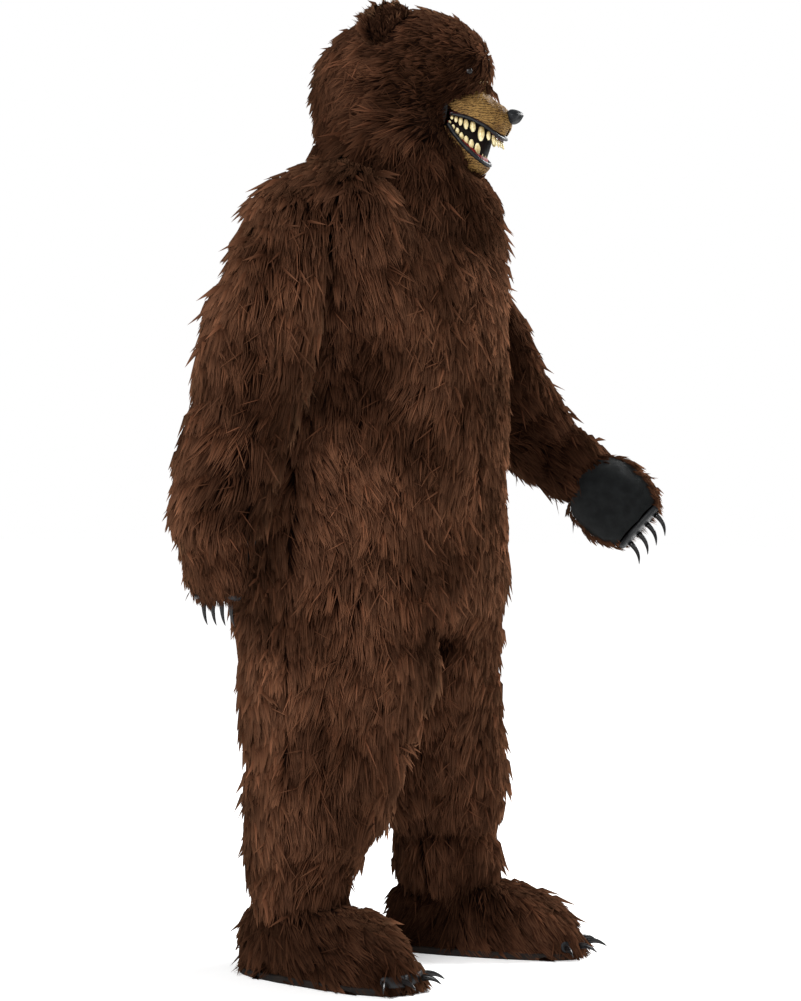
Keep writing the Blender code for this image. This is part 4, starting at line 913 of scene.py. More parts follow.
@dataclass(frozen=True)
class Pile:
    """The pile of one fur cloth, with what a maker would order it by."""

    locks_per_square_metre: float = 50500.0
    length_per_depth: float = 6.2
    longest: float = 0.072
    lock_width: float = 0.0020
    overlap: float = 0.0075
    lift: float = 1.02
    highest_rise: float = 2.3
    belly_share: float = 0.36
    belly_rise: float = 0.78
    swirl: float = 0.24
    swirl_size: float = 0.30
    waver: float = 0.15
    waver_size: float = 0.075
    stray_share: float = 0.05
    least_depth: float = 0.004
    full_depth: float = 0.009
    turn_scatter: float = 0.08
    stray_turn: float = 0.45
    tuft_lengths: tuple[float, float] = (0.78, 1.22)
    lock_lengths: tuple[float, float] = (0.75, 1.10)
    tip_rises: tuple[float, float] = (0.75, 1.05)
    widths: tuple[float, float] = (0.55, 1.35)
    settling: tuple[float, float] = (0.65, 1.20)
    droop: float = 0.05
    belly_pull: float = 0.35
    edge_turn: float = 0.75
    along: tuple[float, ...] = (0.02, 0.45, 0.45, 0.98)
    tone_shares: Place = (0.36, 0.27, 0.37)
    stray_tone: float = 0.10
    fine: Tufts = Tufts(share=0.12, pull=0.62, turn=0.09, lift=0.24)
    coarse: Tufts = Tufts(share=0.014, pull=0.20, turn=0.10, lift=0.24)

    def scatter(self, surface: RootSurface, rng: np.random.Generator) -> tuple[Array, ...]:
        """Scatter roots evenly over a surface.

        Args:
            surface: The cloth face.
            rng: Random source.

        Returns:
            Roots, normals, depth and the added tone with its painted shade, one a lock.
        """
        corners = [surface.triangles[:, k] for k in range(3)]
        first, second, third = (surface.points[corner] for corner in corners)
        areas = np.linalg.norm(np.cross(second - first, third - first), axis=1)
        count = int(surface.area * self.locks_per_square_metre)
        chosen = rng.choice(len(areas), count, p=areas / areas.sum())
        along, across = rng.random(count), rng.random(count)
        over = along + across > 1.0
        along[over], across[over] = 1.0 - along[over], 1.0 - across[over]
        weights = np.stack([1.0 - along - across, along, across], axis=1)

        def read(values: Array) -> Array:
            """Read a value of the cloth at the roots."""
            return sum(values[corners[k][chosen]] * weights[:, k:k + 1] for k in range(3))

        depth = np.maximum(read(surface.depth[:, None])[:, 0], self.least_depth)
        return read(surface.points), unit(read(surface.normals)), depth, read(surface.tone[:, None])[:, 0]

    def brush(self, roots: Array, normals: Array, sweep: Sweep, stray: Array,
              gathered: tuple[Gathering, Gathering], rng: np.random.Generator,
              pattern: int) -> tuple[Array, Array]:
        """Shift the roots across the brushed way and lay each lock's direction on the cloth.

        Args:
            roots: Roots, one a row.
            normals: The cloth's normals there.
            sweep: Which way it is brushed.
            stray: Which locks stray.
            gathered: The fine and the coarse tufts.
            rng: Random source.
            pattern: Picks the swirls.

        Returns:
            The shifted roots and the locks' directions.
        """
        count = len(roots)
        brushed = sweep_directions(sweep, roots, normals)
        brushed = unit(brushed - normals * np.sum(brushed * normals, axis=1, keepdims=True))
        across = np.cross(normals, brushed)
        roots = roots + across * rng.uniform(-self.overlap, self.overlap, count)[:, None]
        angle = self.swirl * ripple(roots, self.swirl_size, pattern + 5)
        angle += self.waver * ripple(roots, self.waver_size, pattern + 9)
        for tufts in gathered:
            angle += rng.normal(0.0, tufts.habit.turn, tufts.count)[tufts.number]
        angle += rng.normal(0.0, self.turn_scatter, count) + stray * rng.normal(0.0, self.stray_turn, count)
        return roots, brushed * np.cos(angle)[:, None] + across * np.sin(angle)[:, None]

    def bend(self, roots: Array, normals: Array, brushed: Array, depth: Array, stray: Array,
             gathered: tuple[Gathering, Gathering], rng: np.random.Generator,
             pattern: int) -> tuple[Array, Array]:
        """Find where each lock bends and where it ends.

        Args:
            roots: Roots, one a row.
            normals: The cloth's normals there.
            brushed: The locks' directions.
            depth: Depth of the pile there.
            stray: Which locks stray.
            gathered: The fine and the coarse tufts.
            rng: Random source.
            pattern: Picks the swells.

        Returns:
            The bellies and the tips.
        """
        count = len(roots)
        fine, coarse = gathered
        length = np.minimum(depth * self.length_per_depth, self.longest)
        length *= rng.uniform(*self.tuft_lengths, fine.count)[fine.number]
        length *= rng.uniform(*self.lock_lengths, count)
        rise = depth * self.lift * (1.0 + 0.16 * ripple(roots, self.waver_size * 1.3, pattern + 13))
        for tufts in gathered:
            rise *= np.exp(rng.normal(0.0, tufts.habit.lift, tufts.count))[tufts.number]
        rise = np.minimum(rise * (1.0 + 0.8 * stray), depth * self.highest_rise)
        belly = roots + normals * (rise * self.belly_rise)[:, None]
        belly += brushed * (length * self.belly_share)[:, None]
        tips = roots + normals * (rise * rng.uniform(*self.tip_rises, count))[:, None]
        tips += (brushed * (1.0 - self.droop) + DOWN * self.droop) * length[:, None]
        settled = rng.uniform(*self.settling, count) * ~stray
        for places, share in ((belly, self.belly_pull), (tips, 1.0)):
            for tufts in (coarse, fine):
                tufts.draw_in(places, share * settled)
        return belly, tips

    def grow(self, name: str, surface: RootSurface, sweep: Sweep, seed: int) -> bpy.types.Object:
        """Grow the pile as one joined mesh of bent, tapered locks.

        Each lock is a closed sliver with a root, two belly points where it bends, and a tip. Roots shift
        a little across the brushed way, so that both sides of a seam mix over it. Locks draw together
        into fine tufts and loose larger ones, each with its own turn, lift and tone.

        Args:
            name: The piece's name.
            surface: The cloth face it grows from.
            sweep: Which way it is brushed.
            seed: Picks the random places.

        Returns:
            The pile's object.
        """
        rng = np.random.default_rng(seed)
        roots, normals, depth, tone_and_painted_shade = self.scatter(surface, rng)
        count = len(roots)
        fine, coarse = gathered = (self.fine.gather(roots, rng), self.coarse.gather(roots, rng))
        stray = rng.random(count) < self.stray_share
        roots, brushed = self.brush(roots, normals, sweep, stray, gathered, rng, seed % 3)
        belly, tips = self.bend(roots, normals, brushed, depth, stray, gathered, rng, seed % 3)

        side = unit(np.cross(normals, unit(tips - roots)))
        width = self.lock_width * rng.uniform(*self.widths, count)
        width *= np.clip(depth / self.full_depth, 0.55, 1.0)
        half = side * (width * 0.5)[:, None]
        points = np.stack([roots, belly + half, belly - half, tips], axis=1)
        points[:, :, 2] = np.maximum(points[:, :, 2], FLOOR + 0.001)
        edge = side * self.edge_turn
        shading = np.stack([normals, unit(normals + edge), unit(normals - edge), normals], axis=1)
        corners = np.array([(0, 2, 1), (3, 1, 2), (0, 1, 3), (0, 3, 2)])
        faces = (np.arange(count)[:, None, None] * 4 + corners[None]).reshape(-1, 3)
        fine_share, coarse_share, lock_share = self.tone_shares
        tone = fine_share * rng.random(fine.count)[fine.number]
        tone += coarse_share * rng.random(coarse.count)[coarse.number]
        # The surface's added tone brings painted shade beside overlapping pieces and in the ears' hollows.
        tone += lock_share * rng.random(count) + self.stray_tone * stray + tone_and_painted_shade
        uv = np.empty((count, 4, 2))
        uv[:, :, 0] = np.clip(tone, 0.01, 0.99)[:, None]
        uv[:, :, 1] = self.along
        return mesh_piece(name, points.reshape(-1, 3), faces, uv.reshape(-1, 2), shading.reshape(-1, 3))

    def cover(self, name: str, surface: RootSurface, sweep: Sweep, seed: int,
              finish: Finish) -> bpy.types.Object:
        """Grow the pile as grow does, then dress it with a finish and report it."""
        locks = self.grow(name, surface, sweep, seed)
        ride_and_dress(locks, finish, "brown_fur")
        log.info("%s: %.3f m2 of fur, %d locks", name, surface.area, len(locks.data.polygons) // 4)
        return locks


# Cloth

class Held(Enum):
    """How a cloth is held, in the frame's words."""

    HUNG = "hung"
    STRETCHED = "stretched"


@dataclass
class FurCloth:
    """One cut piece of fake fur: a thin creased backing and the pile that grows from it."""

    node: str
    sweep: Sweep
    flat: tuple[float, float]
    pile: Pile = field(default_factory=Pile)
    creases: tuple[Crease, ...] = ()
    held: Held = Held.HUNG
    finish: PileFinish = PILE
    seed: int = 1
    beside: tuple[str, ...] = ()
    backing_thickness: float = 0.0024
    turn_limit: float = math.radians(42.0)
    levels: int = 1
    least_beside: float = 0.35
    shadow_beside: float = 0.42

    def skins(self, item: bpy.types.Object) -> list[list[int]]:
        """Part a wall's faces where it turns sharply.

        Args:
            item: A merged copy of the wall.

        Returns:
            Face numbers of each smooth skin, the largest first: outer, inner, then the edges.
        """
        shaper = bmesh.new()
        shaper.from_mesh(item.data)
        shaper.faces.ensure_lookup_table()
        seen: set[int] = set()
        groups = []
        for face in shaper.faces:
            if face.index in seen:
                continue
            seen.add(face.index)
            group, waiting, area = [], [face], 0.0
            while waiting:
                current = waiting.pop()
                group.append(current.index)
                area += current.calc_area()
                for edge in current.edges:
                    if len(edge.link_faces) == 2 and edge.calc_face_angle() < self.turn_limit:
                        for other in edge.link_faces:
                            if other.index not in seen:
                                seen.add(other.index)
                                waiting.append(other)
            groups.append((area, group))
        shaper.free()
        groups.sort(key=lambda pair: pair[0], reverse=True)
        return [group for _, group in groups]

    def keep(self, item: bpy.types.Object, faces: list[int]) -> None:
        """Keep only the named faces of a piece."""
        shaper = bmesh.new()
        shaper.from_mesh(item.data)
        shaper.faces.ensure_lookup_table()
        wanted = set(faces)
        gone = [face for face in shaper.faces if face.index not in wanted]
        bmesh.ops.delete(shaper, geom=gone, context="FACES")
        shaper.to_mesh(item.data)
        shaper.free()

    def build_backing(self) -> tuple[bpy.types.Object, RootSurface]:
        """Make the backing on the wall's inner face, and read where the pile grows.

        Returns:
            The backing and its root surface.
        """
        item = node_copy(self.node, f"{self.node}_backing")
        groups = self.skins(item)
        outer = BVHTree.FromPolygons([vertex.co.copy() for vertex in item.data.vertices],
                                     [tuple(item.data.polygons[k].vertices) for k in groups[0]])
        self.keep(item, groups[1])
        edit_all(item, bpy.ops.mesh.flip_normals)
        round_off(item, self.levels)
        points, normals = points_of(item), normals_of(item)
        depth = away_from(outer, points) - self.backing_thickness
        for crease in self.creases:
            points = points - normals * crease.offset(points)[:, None]
        set_points(item, points)
        near = self.nearness(points)
        depth = np.maximum(depth, 0.0) * (1.0 - (1.0 - self.least_beside) * near)
        # Pile beside the overlapping pieces is shorter and darker: painted shade under their edges.
        surface = RootSurface.of(item, depth, -self.shadow_beside * near)
        surface.points = surface.points + surface.normals * self.backing_thickness * 0.8
        finish_with(item, "SOLIDIFY", thickness=self.backing_thickness, offset=1.0)
        shade(item)
        return item, surface

    def nearness(self, points: Array) -> Array:
        """How near points are to the pieces that overlap this cloth.

        Args:
            points: Places on the cloth.

        Returns:
            One where they touch, falling to zero a few centimetres away.
        """
        near = np.zeros(len(points))
        for node in self.beside:
            away = away_from(surface_tree(node), points)
            near = np.maximum(near, 1.0 - smooth_step(away, 0.010, 0.034))
        return near

    def build(self) -> None:
        backing, surface = self.build_backing()
        ride_and_dress(backing, BACKING, "brown_fur", self.node)
        pile = self.pile.cover(f"{self.node}_pile", surface, self.sweep, self.seed, self.finish)


@dataclass
class Jumpsuit:
    """The body: four panels from shoulder to ankle, two sleeves and the centre back zip.

    A row of folds holds start, end, spread and depth. The back has the same folds for both of its
    panels, not mirrored; the sleeves gather above the cuffs and at the raised elbow.
    """

    panel_flat: tuple[float, float] = (0.62, 1.50)
    sleeve_flat: tuple[float, float] = (0.74, 0.68)
    tooth_pitch: float = 0.0052
    tooth_size: Place = (0.0046, 0.0016, 0.0018)
    tooth_taper: Place = (0.7, 1.0, 0.6)
    front_right_folds: Rows = (
        (-0.20, -0.20, 1.36, -0.10, -0.22, 1.28, 0.022, 0.007),
        (-0.24, -0.12, 1.18, -0.20, -0.20, 1.10, 0.026, 0.008),
        (-0.20, -0.20, 1.00, -0.22, -0.18, 0.88, 0.024, 0.008),
        (-0.10, -0.24, 0.96, -0.06, -0.25, 0.84, 0.028, 0.006),
        (-0.10, -0.20, 0.72, -0.24, -0.14, 0.62, 0.022, 0.007),
        (-0.28, -0.06, 0.52, -0.24, -0.14, 0.46, 0.020, 0.006),
        (-0.16, -0.16, 0.40, -0.22, -0.13, 0.34, 0.016, 0.005))
    front_left_folds: Rows = (
        (0.18, -0.21, 1.34, 0.10, -0.23, 1.26, 0.022, 0.006),
        (0.24, -0.13, 1.14, 0.18, -0.21, 1.06, 0.026, 0.008),
        (0.16, -0.22, 0.98, 0.20, -0.19, 0.86, 0.024, 0.007),
        (0.10, -0.20, 0.70, 0.24, -0.14, 0.60, 0.022, 0.007),
        (0.26, -0.14, 0.50, 0.20, -0.18, 0.44, 0.020, 0.006),
        (0.14, -0.17, 0.34, 0.24, -0.15, 0.30, 0.014, 0.006))
    back_folds: Rows = (
        (-0.12, 0.20, 1.38, -0.22, 0.15, 1.30, 0.024, 0.007),
        (-0.20, 0.17, 1.14, -0.26, 0.10, 1.04, 0.026, 0.008),
        (-0.08, 0.23, 0.98, -0.16, 0.21, 0.88, 0.026, 0.007),
        (-0.10, 0.21, 0.70, -0.24, 0.15, 0.62, 0.022, 0.008),
        (-0.26, 0.10, 0.46, -0.18, 0.15, 0.40, 0.018, 0.006),
        (0.14, 0.19, 1.40, 0.22, 0.13, 1.28, 0.024, 0.007),
        (0.22, 0.16, 1.12, 0.14, 0.21, 1.00, 0.026, 0.007),
        (0.10, 0.22, 0.90, 0.20, 0.18, 0.84, 0.026, 0.008),
        (0.08, 0.20, 0.66, 0.22, 0.14, 0.56, 0.022, 0.008),
        (0.24, 0.08, 0.42, 0.16, 0.11, 0.36, 0.018, 0.006))
    sleeve_right_folds: Rows = (
        (-0.48, 0.02, 1.075, -0.40, -0.05, 1.055, 0.013, 0.008),
        (-0.50, 0.03, 0.990, -0.40, -0.04, 0.972, 0.012, 0.008),
        (-0.50, 0.04, 0.925, -0.42, -0.02, 0.922, 0.011, 0.006),
        (-0.46, 0.10, 1.120, -0.40, 0.15, 1.080, 0.016, 0.007),
        (-0.40, -0.06, 1.300, -0.44, -0.04, 1.220, 0.020, 0.006))
    sleeve_left_folds: Rows = (
        (0.36, -0.16, 1.110, 0.44, -0.18, 1.100, 0.013, 0.008),
        (0.38, -0.20, 1.060, 0.48, -0.21, 1.050, 0.012, 0.007),
        (0.40, -0.24, 1.010, 0.50, -0.24, 1.010, 0.012, 0.006),
        (0.34, -0.12, 1.240, 0.42, -0.12, 1.190, 0.018, 0.007))

    def panels(self) -> list[FurCloth]:
        """The six cut pieces."""
        back = creases_of(self.back_folds)
        return [
            FurCloth("front_right", Sweep.BODY, self.panel_flat, seed=11, beside=("hood_right",),
                     creases=creases_of(self.front_right_folds)),
            FurCloth("front_left", Sweep.BODY, self.panel_flat, seed=12, beside=("hood_left",),
                     creases=creases_of(self.front_left_folds)),
            FurCloth("back_right", Sweep.BODY, self.panel_flat, creases=back, seed=13),
            FurCloth("back_left", Sweep.BODY, self.panel_flat, creases=back, seed=14),
            FurCloth("sleeve_right", Sweep.RIGHT_SLEEVE, self.sleeve_flat, seed=15,
                     creases=creases_of(self.sleeve_right_folds)),
            FurCloth("sleeve_left", Sweep.LEFT_SLEEVE, self.sleeve_flat, seed=16, finish=PILE_DARK,
                     creases=creases_of(self.sleeve_left_folds)),
        ]

    def build_zip(self) -> None:
        """Dress the zip's tape and slider, and lay its moulded teeth along the middle."""
        for node, finish in (("back_zip", CLOTH), ("zip_slider", ZIP_METAL)):
            mesh = bpy.data.objects[node].data
            mesh.materials.clear()
            mesh.materials.append(finish.material())
        heights = points_of(bpy.data.objects["back_zip"])[:, 2]
        levels = np.arange(heights.min() + 0.01, heights.max() - 0.01, self.tooth_pitch / 2)
        width, tall, thick = self.tooth_size
        skin = surface_tree("back_zip")
        behind, ahead = 0.6, Vector((0.0, -1.0, 0.0))
        outermost = np.array([skin.ray_cast(Vector((0.0, behind, level)), ahead)[0].y for level in levels])
        side = np.where(np.arange(len(levels)) % 2 == 0, 1.0, -1.0)
        seats = np.stack([side * width * 0.18, outermost + thick * 0.4, levels], axis=1)
        corners = np.array([(x, y, z) for x in (-1, 1) for y in (-1, 1) for z in (-1, 1)], float) / 2
        sizes = np.array([width, thick, tall])
        tapered = corners * sizes * np.where(corners[:, 1:2] > 0, self.tooth_taper, 1.0)
        all_points = (seats[:, None] + tapered[None]).reshape(-1, 3)
        quads = [(0, 1, 3, 2), (4, 6, 7, 5), (0, 4, 5, 1), (2, 3, 7, 6), (0, 2, 6, 4), (1, 5, 7, 3)]
        pattern = np.array([tri for a, b, c, d in quads for tri in ((a, b, c), (a, c, d))])
        faces = (np.arange(len(seats))[:, None, None] * 8 + pattern[None]).reshape(-1, 3)
        teeth = mesh_piece("zip_teeth", all_points, faces)
        shade(teeth, 30.0)
        ride_and_dress(teeth, ZIP_METAL, "gloss_black")
        log.info("zip: %d teeth", len(seats))

    def build(self) -> None:
        """Build every piece of the jumpsuit."""
        for panel in self.panels():
            panel.build()
        self.build_zip()


@dataclass
class Mask:
    """The head: fur hood and ears, latex snout, lips, teeth, gums, tongue, nose and eyes.

    Rows are in the mask's own frame. A lip row holds the share along it, forward, half width and
    height; a tooth row the share, length, width and root height above the lip; a web row the height,
    then forward and half width at the cheek and at the lip; a fur line row the height and forward.
    """

    upper_lip: Rows = (
        (0.00, 0.236, 0.000, 1.631), (0.15, 0.234, 0.019, 1.632), (0.30, 0.226, 0.034, 1.639),
        (0.45, 0.212, 0.044, 1.650), (0.65, 0.188, 0.051, 1.664), (0.85, 0.160, 0.056, 1.674),
        (1.00, 0.134, 0.058, 1.679))
    lower_lip: Rows = (
        (0.00, 0.203, 0.000, 1.578), (0.15, 0.200, 0.017, 1.579), (0.30, 0.193, 0.031, 1.585),
        (0.45, 0.180, 0.042, 1.597), (0.65, 0.162, 0.049, 1.616), (0.85, 0.144, 0.054, 1.640),
        (1.00, 0.132, 0.057, 1.662))
    upper_teeth: Rows = (
        (0.055, 0.0150, 0.0070, -0.0075), (0.140, 0.0160, 0.0072, -0.0075), (0.225, 0.0175, 0.0078, -0.0075),
        (0.310, 0.0200, 0.0086, -0.0075), (0.400, 0.0180, 0.0100, -0.0075), (0.540, 0.0300, 0.0156, -0.0075),
        (0.680, 0.0215, 0.0136, -0.0070), (0.775, 0.0205, 0.0116, -0.0070), (0.848, 0.0170, 0.0100, -0.0065),
        (0.905, 0.0130, 0.0088, -0.0060), (0.955, 0.0085, 0.0074, -0.0060))
    lower_teeth: Rows = (
        (0.055, 0.0160, 0.0080, 0.0110), (0.160, 0.0170, 0.0092, 0.0115), (0.310, 0.0300, 0.0158, 0.0085),
        (0.450, 0.0195, 0.0130, 0.0080), (0.560, 0.0170, 0.0116, 0.0070), (0.660, 0.0150, 0.0108, 0.0060),
        (0.755, 0.0135, 0.0102, 0.0050), (0.845, 0.0110, 0.0096, 0.0035), (0.925, 0.0080, 0.0080, 0.0030))
    tooth_rings: Rows = ((0.20, 1.38, 0.00), (0.22, 0.98, 0.01), (0.20, 0.74, 0.03), (0.15, 0.50, 0.05))
    throat: tuple[float, float] = (0.13, 0.0)
    gum_inset: float = 0.0090
    lining_inset: float = 0.0165
    lining_front: float = 0.205
    lining_wall: float = 0.0025
    lining_bend: float = 0.008
    cheek_web: Rows = (
        (1.704, 0.122, 0.0790, 0.138, 0.0665), (1.686, 0.120, 0.0790, 0.138, 0.0635),
        (1.673, 0.119, 0.0790, 0.135, 0.0620), (1.660, 0.119, 0.0790, 0.132, 0.0630),
        (1.646, 0.120, 0.0790, 0.131, 0.0665))
    cheek_depth: float = 0.0055
    cheek_wall: float = 0.0018
    snout_fur_line: Rows = (
        (1.640, 0.122), (1.665, 0.128), (1.683, 0.143), (1.700, 0.160), (1.712, 0.180), (1.722, 0.196),
        (1.735, 0.215))
    chin_fur_line: Rows = ((1.540, 0.215), (1.560, 0.205), (1.570, 0.174), (1.600, 0.170), (1.625, 0.158),
                           (1.640, 0.152))
    hood_flat: tuple[float, float] = (0.50, 0.52)
    soft_swell: float = 0.0009
    lip_swell: float = 0.0006
    gum_rise: float = 0.0085
    nose_swell: float = 0.0018
    nose_wedge: float = 0.75
    nose_middle: float = 1.671
    ear_sink: float = 0.0050
    ear_drop: float = 0.0110
    ear_seat: float = 0.0100
    ear_depth: float = 0.0135
    ear_hollow_depth: float = 0.0075
    head_middle: Place = (0.0, 0.0, 1.70)
    edge_pile: Pile = Pile(locks_per_square_metre=160000.0, length_per_depth=4.2, lock_width=0.0019)
    nostril_places: Rows = ((0.262, 0.0095, 1.668), (0.262, -0.0095, 1.668))
    nostril_size: Place = (0.010, 0.0050, 0.0045)
    nostril_depth: float = 0.0055
    nose_groove: float = 0.0016
    snout_middle: Place = (0.17, 0.0, 1.63)
    cheek_middle: Place = (0.17, 0.0, 1.66)
    brow_ridge: float = 0.0016
    brow_waves: float = 900.0
    hood_folds: Rows = (
        (-0.030, 0.150, 1.630, 0.012, 0.148, 1.712, 0.015, 0.012),
        (-0.034, -0.150, 1.640, 0.006, -0.148, 1.704, 0.015, 0.011),
        (-0.120, 0.080, 1.650, -0.130, -0.040, 1.640, 0.018, 0.009),
        (0.130, 0.085, 1.590, 0.180, 0.060, 1.560, 0.012, 0.006),
        (0.120, -0.090, 1.600, 0.175, -0.055, 1.550, 0.013, 0.006),
        (0.060, 0.120, 1.560, 0.120, 0.110, 1.530, 0.014, 0.007),
        (0.050, -0.125, 1.555, 0.110, -0.110, 1.520, 0.014, 0.007),
        (0.150, 0.062, 1.735, 0.185, 0.052, 1.748, 0.010, 0.004))

    @property
    def hood_creases(self) -> tuple[Crease, ...]:
        """Grooves behind the cheeks and at the nape, and the folds of the bib."""
        made = []
        for row in self.hood_folds:
            ends = [tuple(HEAD.place(row[k:k + 3]) + DOWN * FLOOR) for k in (0, 3)]
            made.append(Crease(*ends, *row[6:]))
        return tuple(made)

    def lip_point(self, rows: Rows, share: float) -> Array:
        """A point along a lip in the mask's own frame.

        Args:
            rows: The lip's table: share, forward, half width and height.
            share: From minus one, the right corner, over zero, the front, to one.

        Returns:
            Forward, right and height.
        """
        table = np.array(rows)
        forward, half, height = (np.interp(abs(share), table[:, 0], table[:, k]) for k in (1, 2, 3))
        return np.array([forward, -math.copysign(half, share), height])

    def model_tooth(self) -> bpy.types.Object:
        """Model one tooth, a metre tall and wide, for copies at real size.

        Returns:
            A plump crown that narrows to its root and to a slightly hooked point.
        """
        bpy.ops.object.select_all(action="DESELECT")
        bpy.ops.mesh.primitive_cylinder_add(vertices=10, radius=0.34, depth=0.16, location=(0.0, 0.0, 0.08))
        item = bpy.context.object
        bpy.ops.object.mode_set(mode="EDIT")
        bpy.ops.mesh.select_mode(type="FACE")
        for rise, grow, lean in self.tooth_rings:
            shaper = bmesh.from_edit_mesh(item.data)
            shaper.faces.ensure_lookup_table()
            top = max(shaper.faces, key=lambda face: face.calc_center_median().z)
            for face in shaper.faces:
                face.select_set(face is top)
            bmesh.update_edit_mesh(item.data)
            bpy.ops.mesh.extrude_region_move(TRANSFORM_OT_translate={"value": (0.0, -lean, rise)})
            bpy.ops.transform.resize(value=(grow, grow, 1.0))
        bpy.ops.mesh.poke()
        bpy.ops.object.mode_set(mode="OBJECT")
        only(item)
        bpy.ops.object.transform_apply(location=True, rotation=True, scale=True)
        round_off(item, 1)
        return item

    def build_teeth(self, name: str, rows: Rows, teeth: Rows, direction: float,
                    master: bpy.types.Object) -> None:
        """Set a row of teeth round its arch.

        Args:
            name: The piece's name, also of the node it replaces.
            rows: The lip the arch lies behind.
            teeth: Share along the lip, length, width and root height above the lip of each tooth.
            direction: Minus one where they point down, one where they point up.
            master: The modelled tooth.
        """
        form = points_of(master)
        height = form[:, 2].max()
        form = form * [1.0, 1.0, 1.0 / height]
        faces = np.array([tuple(face.vertices) for face in master.data.polygons])
        points, corners, shares = [], [], []
        sides = [(row[0] * mirror, *row[1:]) for row in teeth for mirror in (-1.0, 1.0)]
        for number, (share, length, width, root_lift) in enumerate(sides):
            here = self.lip_point(rows, share)
            ahead, behind = self.lip_point(rows, share + 0.02), self.lip_point(rows, share - 0.02)
            along = unit((ahead - behind) * [1.0, 1.0, 0.0])
            out = np.array([-along[1], along[0], 0.0])
            out = out * np.sign(np.dot(out[:2], here[:2] - self.throat))
            seat = here - out * self.gum_inset + np.array([0.0, 0.0, root_lift])
            lean = 0.10 * math.sin(number * 2.3)
            up = np.array([0.0, 0.0, direction])
            local = (form[:, :1] * along * width + form[:, 1:2] * out * width * -0.72
                     + form[:, 2:] * (up + along * lean * 0.5 + out * 0.06) * length)
            points.append(HEAD.place(seat + local))
            shares.append(form[:, 2])
            corners.append(faces + number * len(form))
        piece = self.joined(name + "_row", points, corners, direction < 0)
        attribute = piece.data.attributes.new("tooth_share", "FLOAT", "POINT")
        attribute.data.foreach_set("value", np.concatenate(shares).astype(np.float32))
        ride_and_dress(piece, TOOTH, "tooth_ivory", name)
        log.info("%s: %d teeth", name, len(sides))

    def joined(self, name: str, points: list[Array], corners: list[Array], flip: bool) -> bpy.types.Object:
        """Join copies of a form into one mesh whose faces point out.

        Args:
            name: The piece's name.
            points: Points of each copy.
            corners: Faces of each copy.
            flip: Whether the copies were turned inside out.

        Returns:
            The joined piece.
        """
        mesh = bpy.data.meshes.new(name)
        faces = np.concatenate(corners)
        mesh.from_pydata(np.concatenate(points).tolist(), [], (faces[:, ::-1] if flip else faces).tolist())
        mesh.shade_smooth()
        item = placed(name, mesh)
        edit_all(item, partial(bpy.ops.mesh.normals_make_consistent, inside=False))
        return item

    def build_snout(self) -> None:
        """Model the snout and the chin: smooth latex, large folds raised, fine wrinkles in bump."""
        latex = SnoutFinish(turn=HEAD.turn)
        for node in ("muzzle", "jaw"):
            item = node_copy(node, f"{node}_latex")
            round_off(item, 3)
            points, normals = points_of(item), normals_of(item)
            local = HEAD.local(points)
            folds = np.stack([local[:, 0] * 0.35, local[:, 1], local[:, 2] * 0.8], axis=1)
            relief = 0.0007 * ripple(folds, 0.016, 31) + 0.0005 * ripple(folds, 0.008, 32)
            brow = smooth_step(local[:, 0], 0.205, 0.185) * smooth_step(local[:, 2], 1.690, 1.706)
            relief = relief + self.brow_ridge * brow * np.sin(local[:, 0] * self.brow_waves)
            middle = HEAD.place(self.snout_middle)
            outward = np.sum(normals * (points - middle), axis=1) > 0.0
            set_points(item, points + normals * (relief * outward)[:, None])
            self.cover_edge(item, node, local, outward)
            shade(item)
            ride_and_dress(item, latex, "tan_latex", node)
            # Inner faces take the mouth's near-black: painted shade inside the mouth.
            item.data.materials.append(MOUTH_DARK.material())
            middles = np.array([face.center[:] for face in item.data.polygons])
            facing = np.array([face.normal[:] for face in item.data.polygons])
            inside = np.sum(facing * (middles - middle), axis=1) < 0.0
            item.data.polygons.foreach_set("material_index", inside.astype(np.int32))
            log.info("%s: latex with folds", node)

    def cover_edge(self, item: bpy.types.Object, node: str, local: Array, outward: Array) -> None:
        """Glue short fur over the latex behind its fur line, as the real mask has.

        Args:
            item: The latex piece.
            node: Its node.
            local: Its points in the mask's own frame.
            outward: Which points lie on the outer face.
        """
        table = np.array(self.snout_fur_line if node == "muzzle" else self.chin_fur_line)
        ragged = 0.004 * ripple(local, 0.014, 77)
        behind = np.interp(local[:, 2], table[:, 0], table[:, 1]) - local[:, 0] + ragged
        wanted = outward & (behind > 0.0)
        depth = 0.0042 + 0.0070 * smooth_step(behind, 0.002, 0.040)
        surface = RootSurface.of(item, depth, wanted=wanted)
        self.edge_pile.cover(f"{node}_fur", surface, Sweep.HOOD, 91, PILE_DARK)

    def build_lining(self) -> None:
        """Close the mouth behind the teeth with a dark moulded wall between the gums; its near-black is
        painted shade for the mouth's depth.
        """
        bpy.ops.object.select_all(action="DESELECT")
        bpy.ops.mesh.primitive_grid_add(x_subdivisions=32, y_subdivisions=6, size=2.0)
        item = bpy.context.object
        item.name = "mouth_lining"
        grid = points_of(item)
        places = []
        for share, rise in zip(grid[:, 0] * 0.97, (grid[:, 1] + 1.0) / 2.0):
            low = self.lip_point(self.lower_lip, share) - [0.0, 0.0, 0.008]
            high = self.lip_point(self.upper_lip, share) + [0.0, 0.0, 0.012]
            place = low * (1.0 - rise) + high * rise
            inward = place[:2] - self.throat
            reach = max(np.linalg.norm(inward), 0.02)
            place[:2] -= inward / reach * self.lining_inset
            over = (self.lining_front - place[0]) / self.lining_bend
            place[0] = self.lining_front - self.lining_bend * math.log1p(math.exp(over))
            places.append(place)
        set_points(item, HEAD.place(np.array(places)))
        finish_with(item, "SOLIDIFY", thickness=self.lining_wall, offset=0.0)
        shade(item)
        ride_and_dress(item, MOUTH_DARK, "mouth_flesh")
        log.info("mouth_lining: wall behind the teeth")

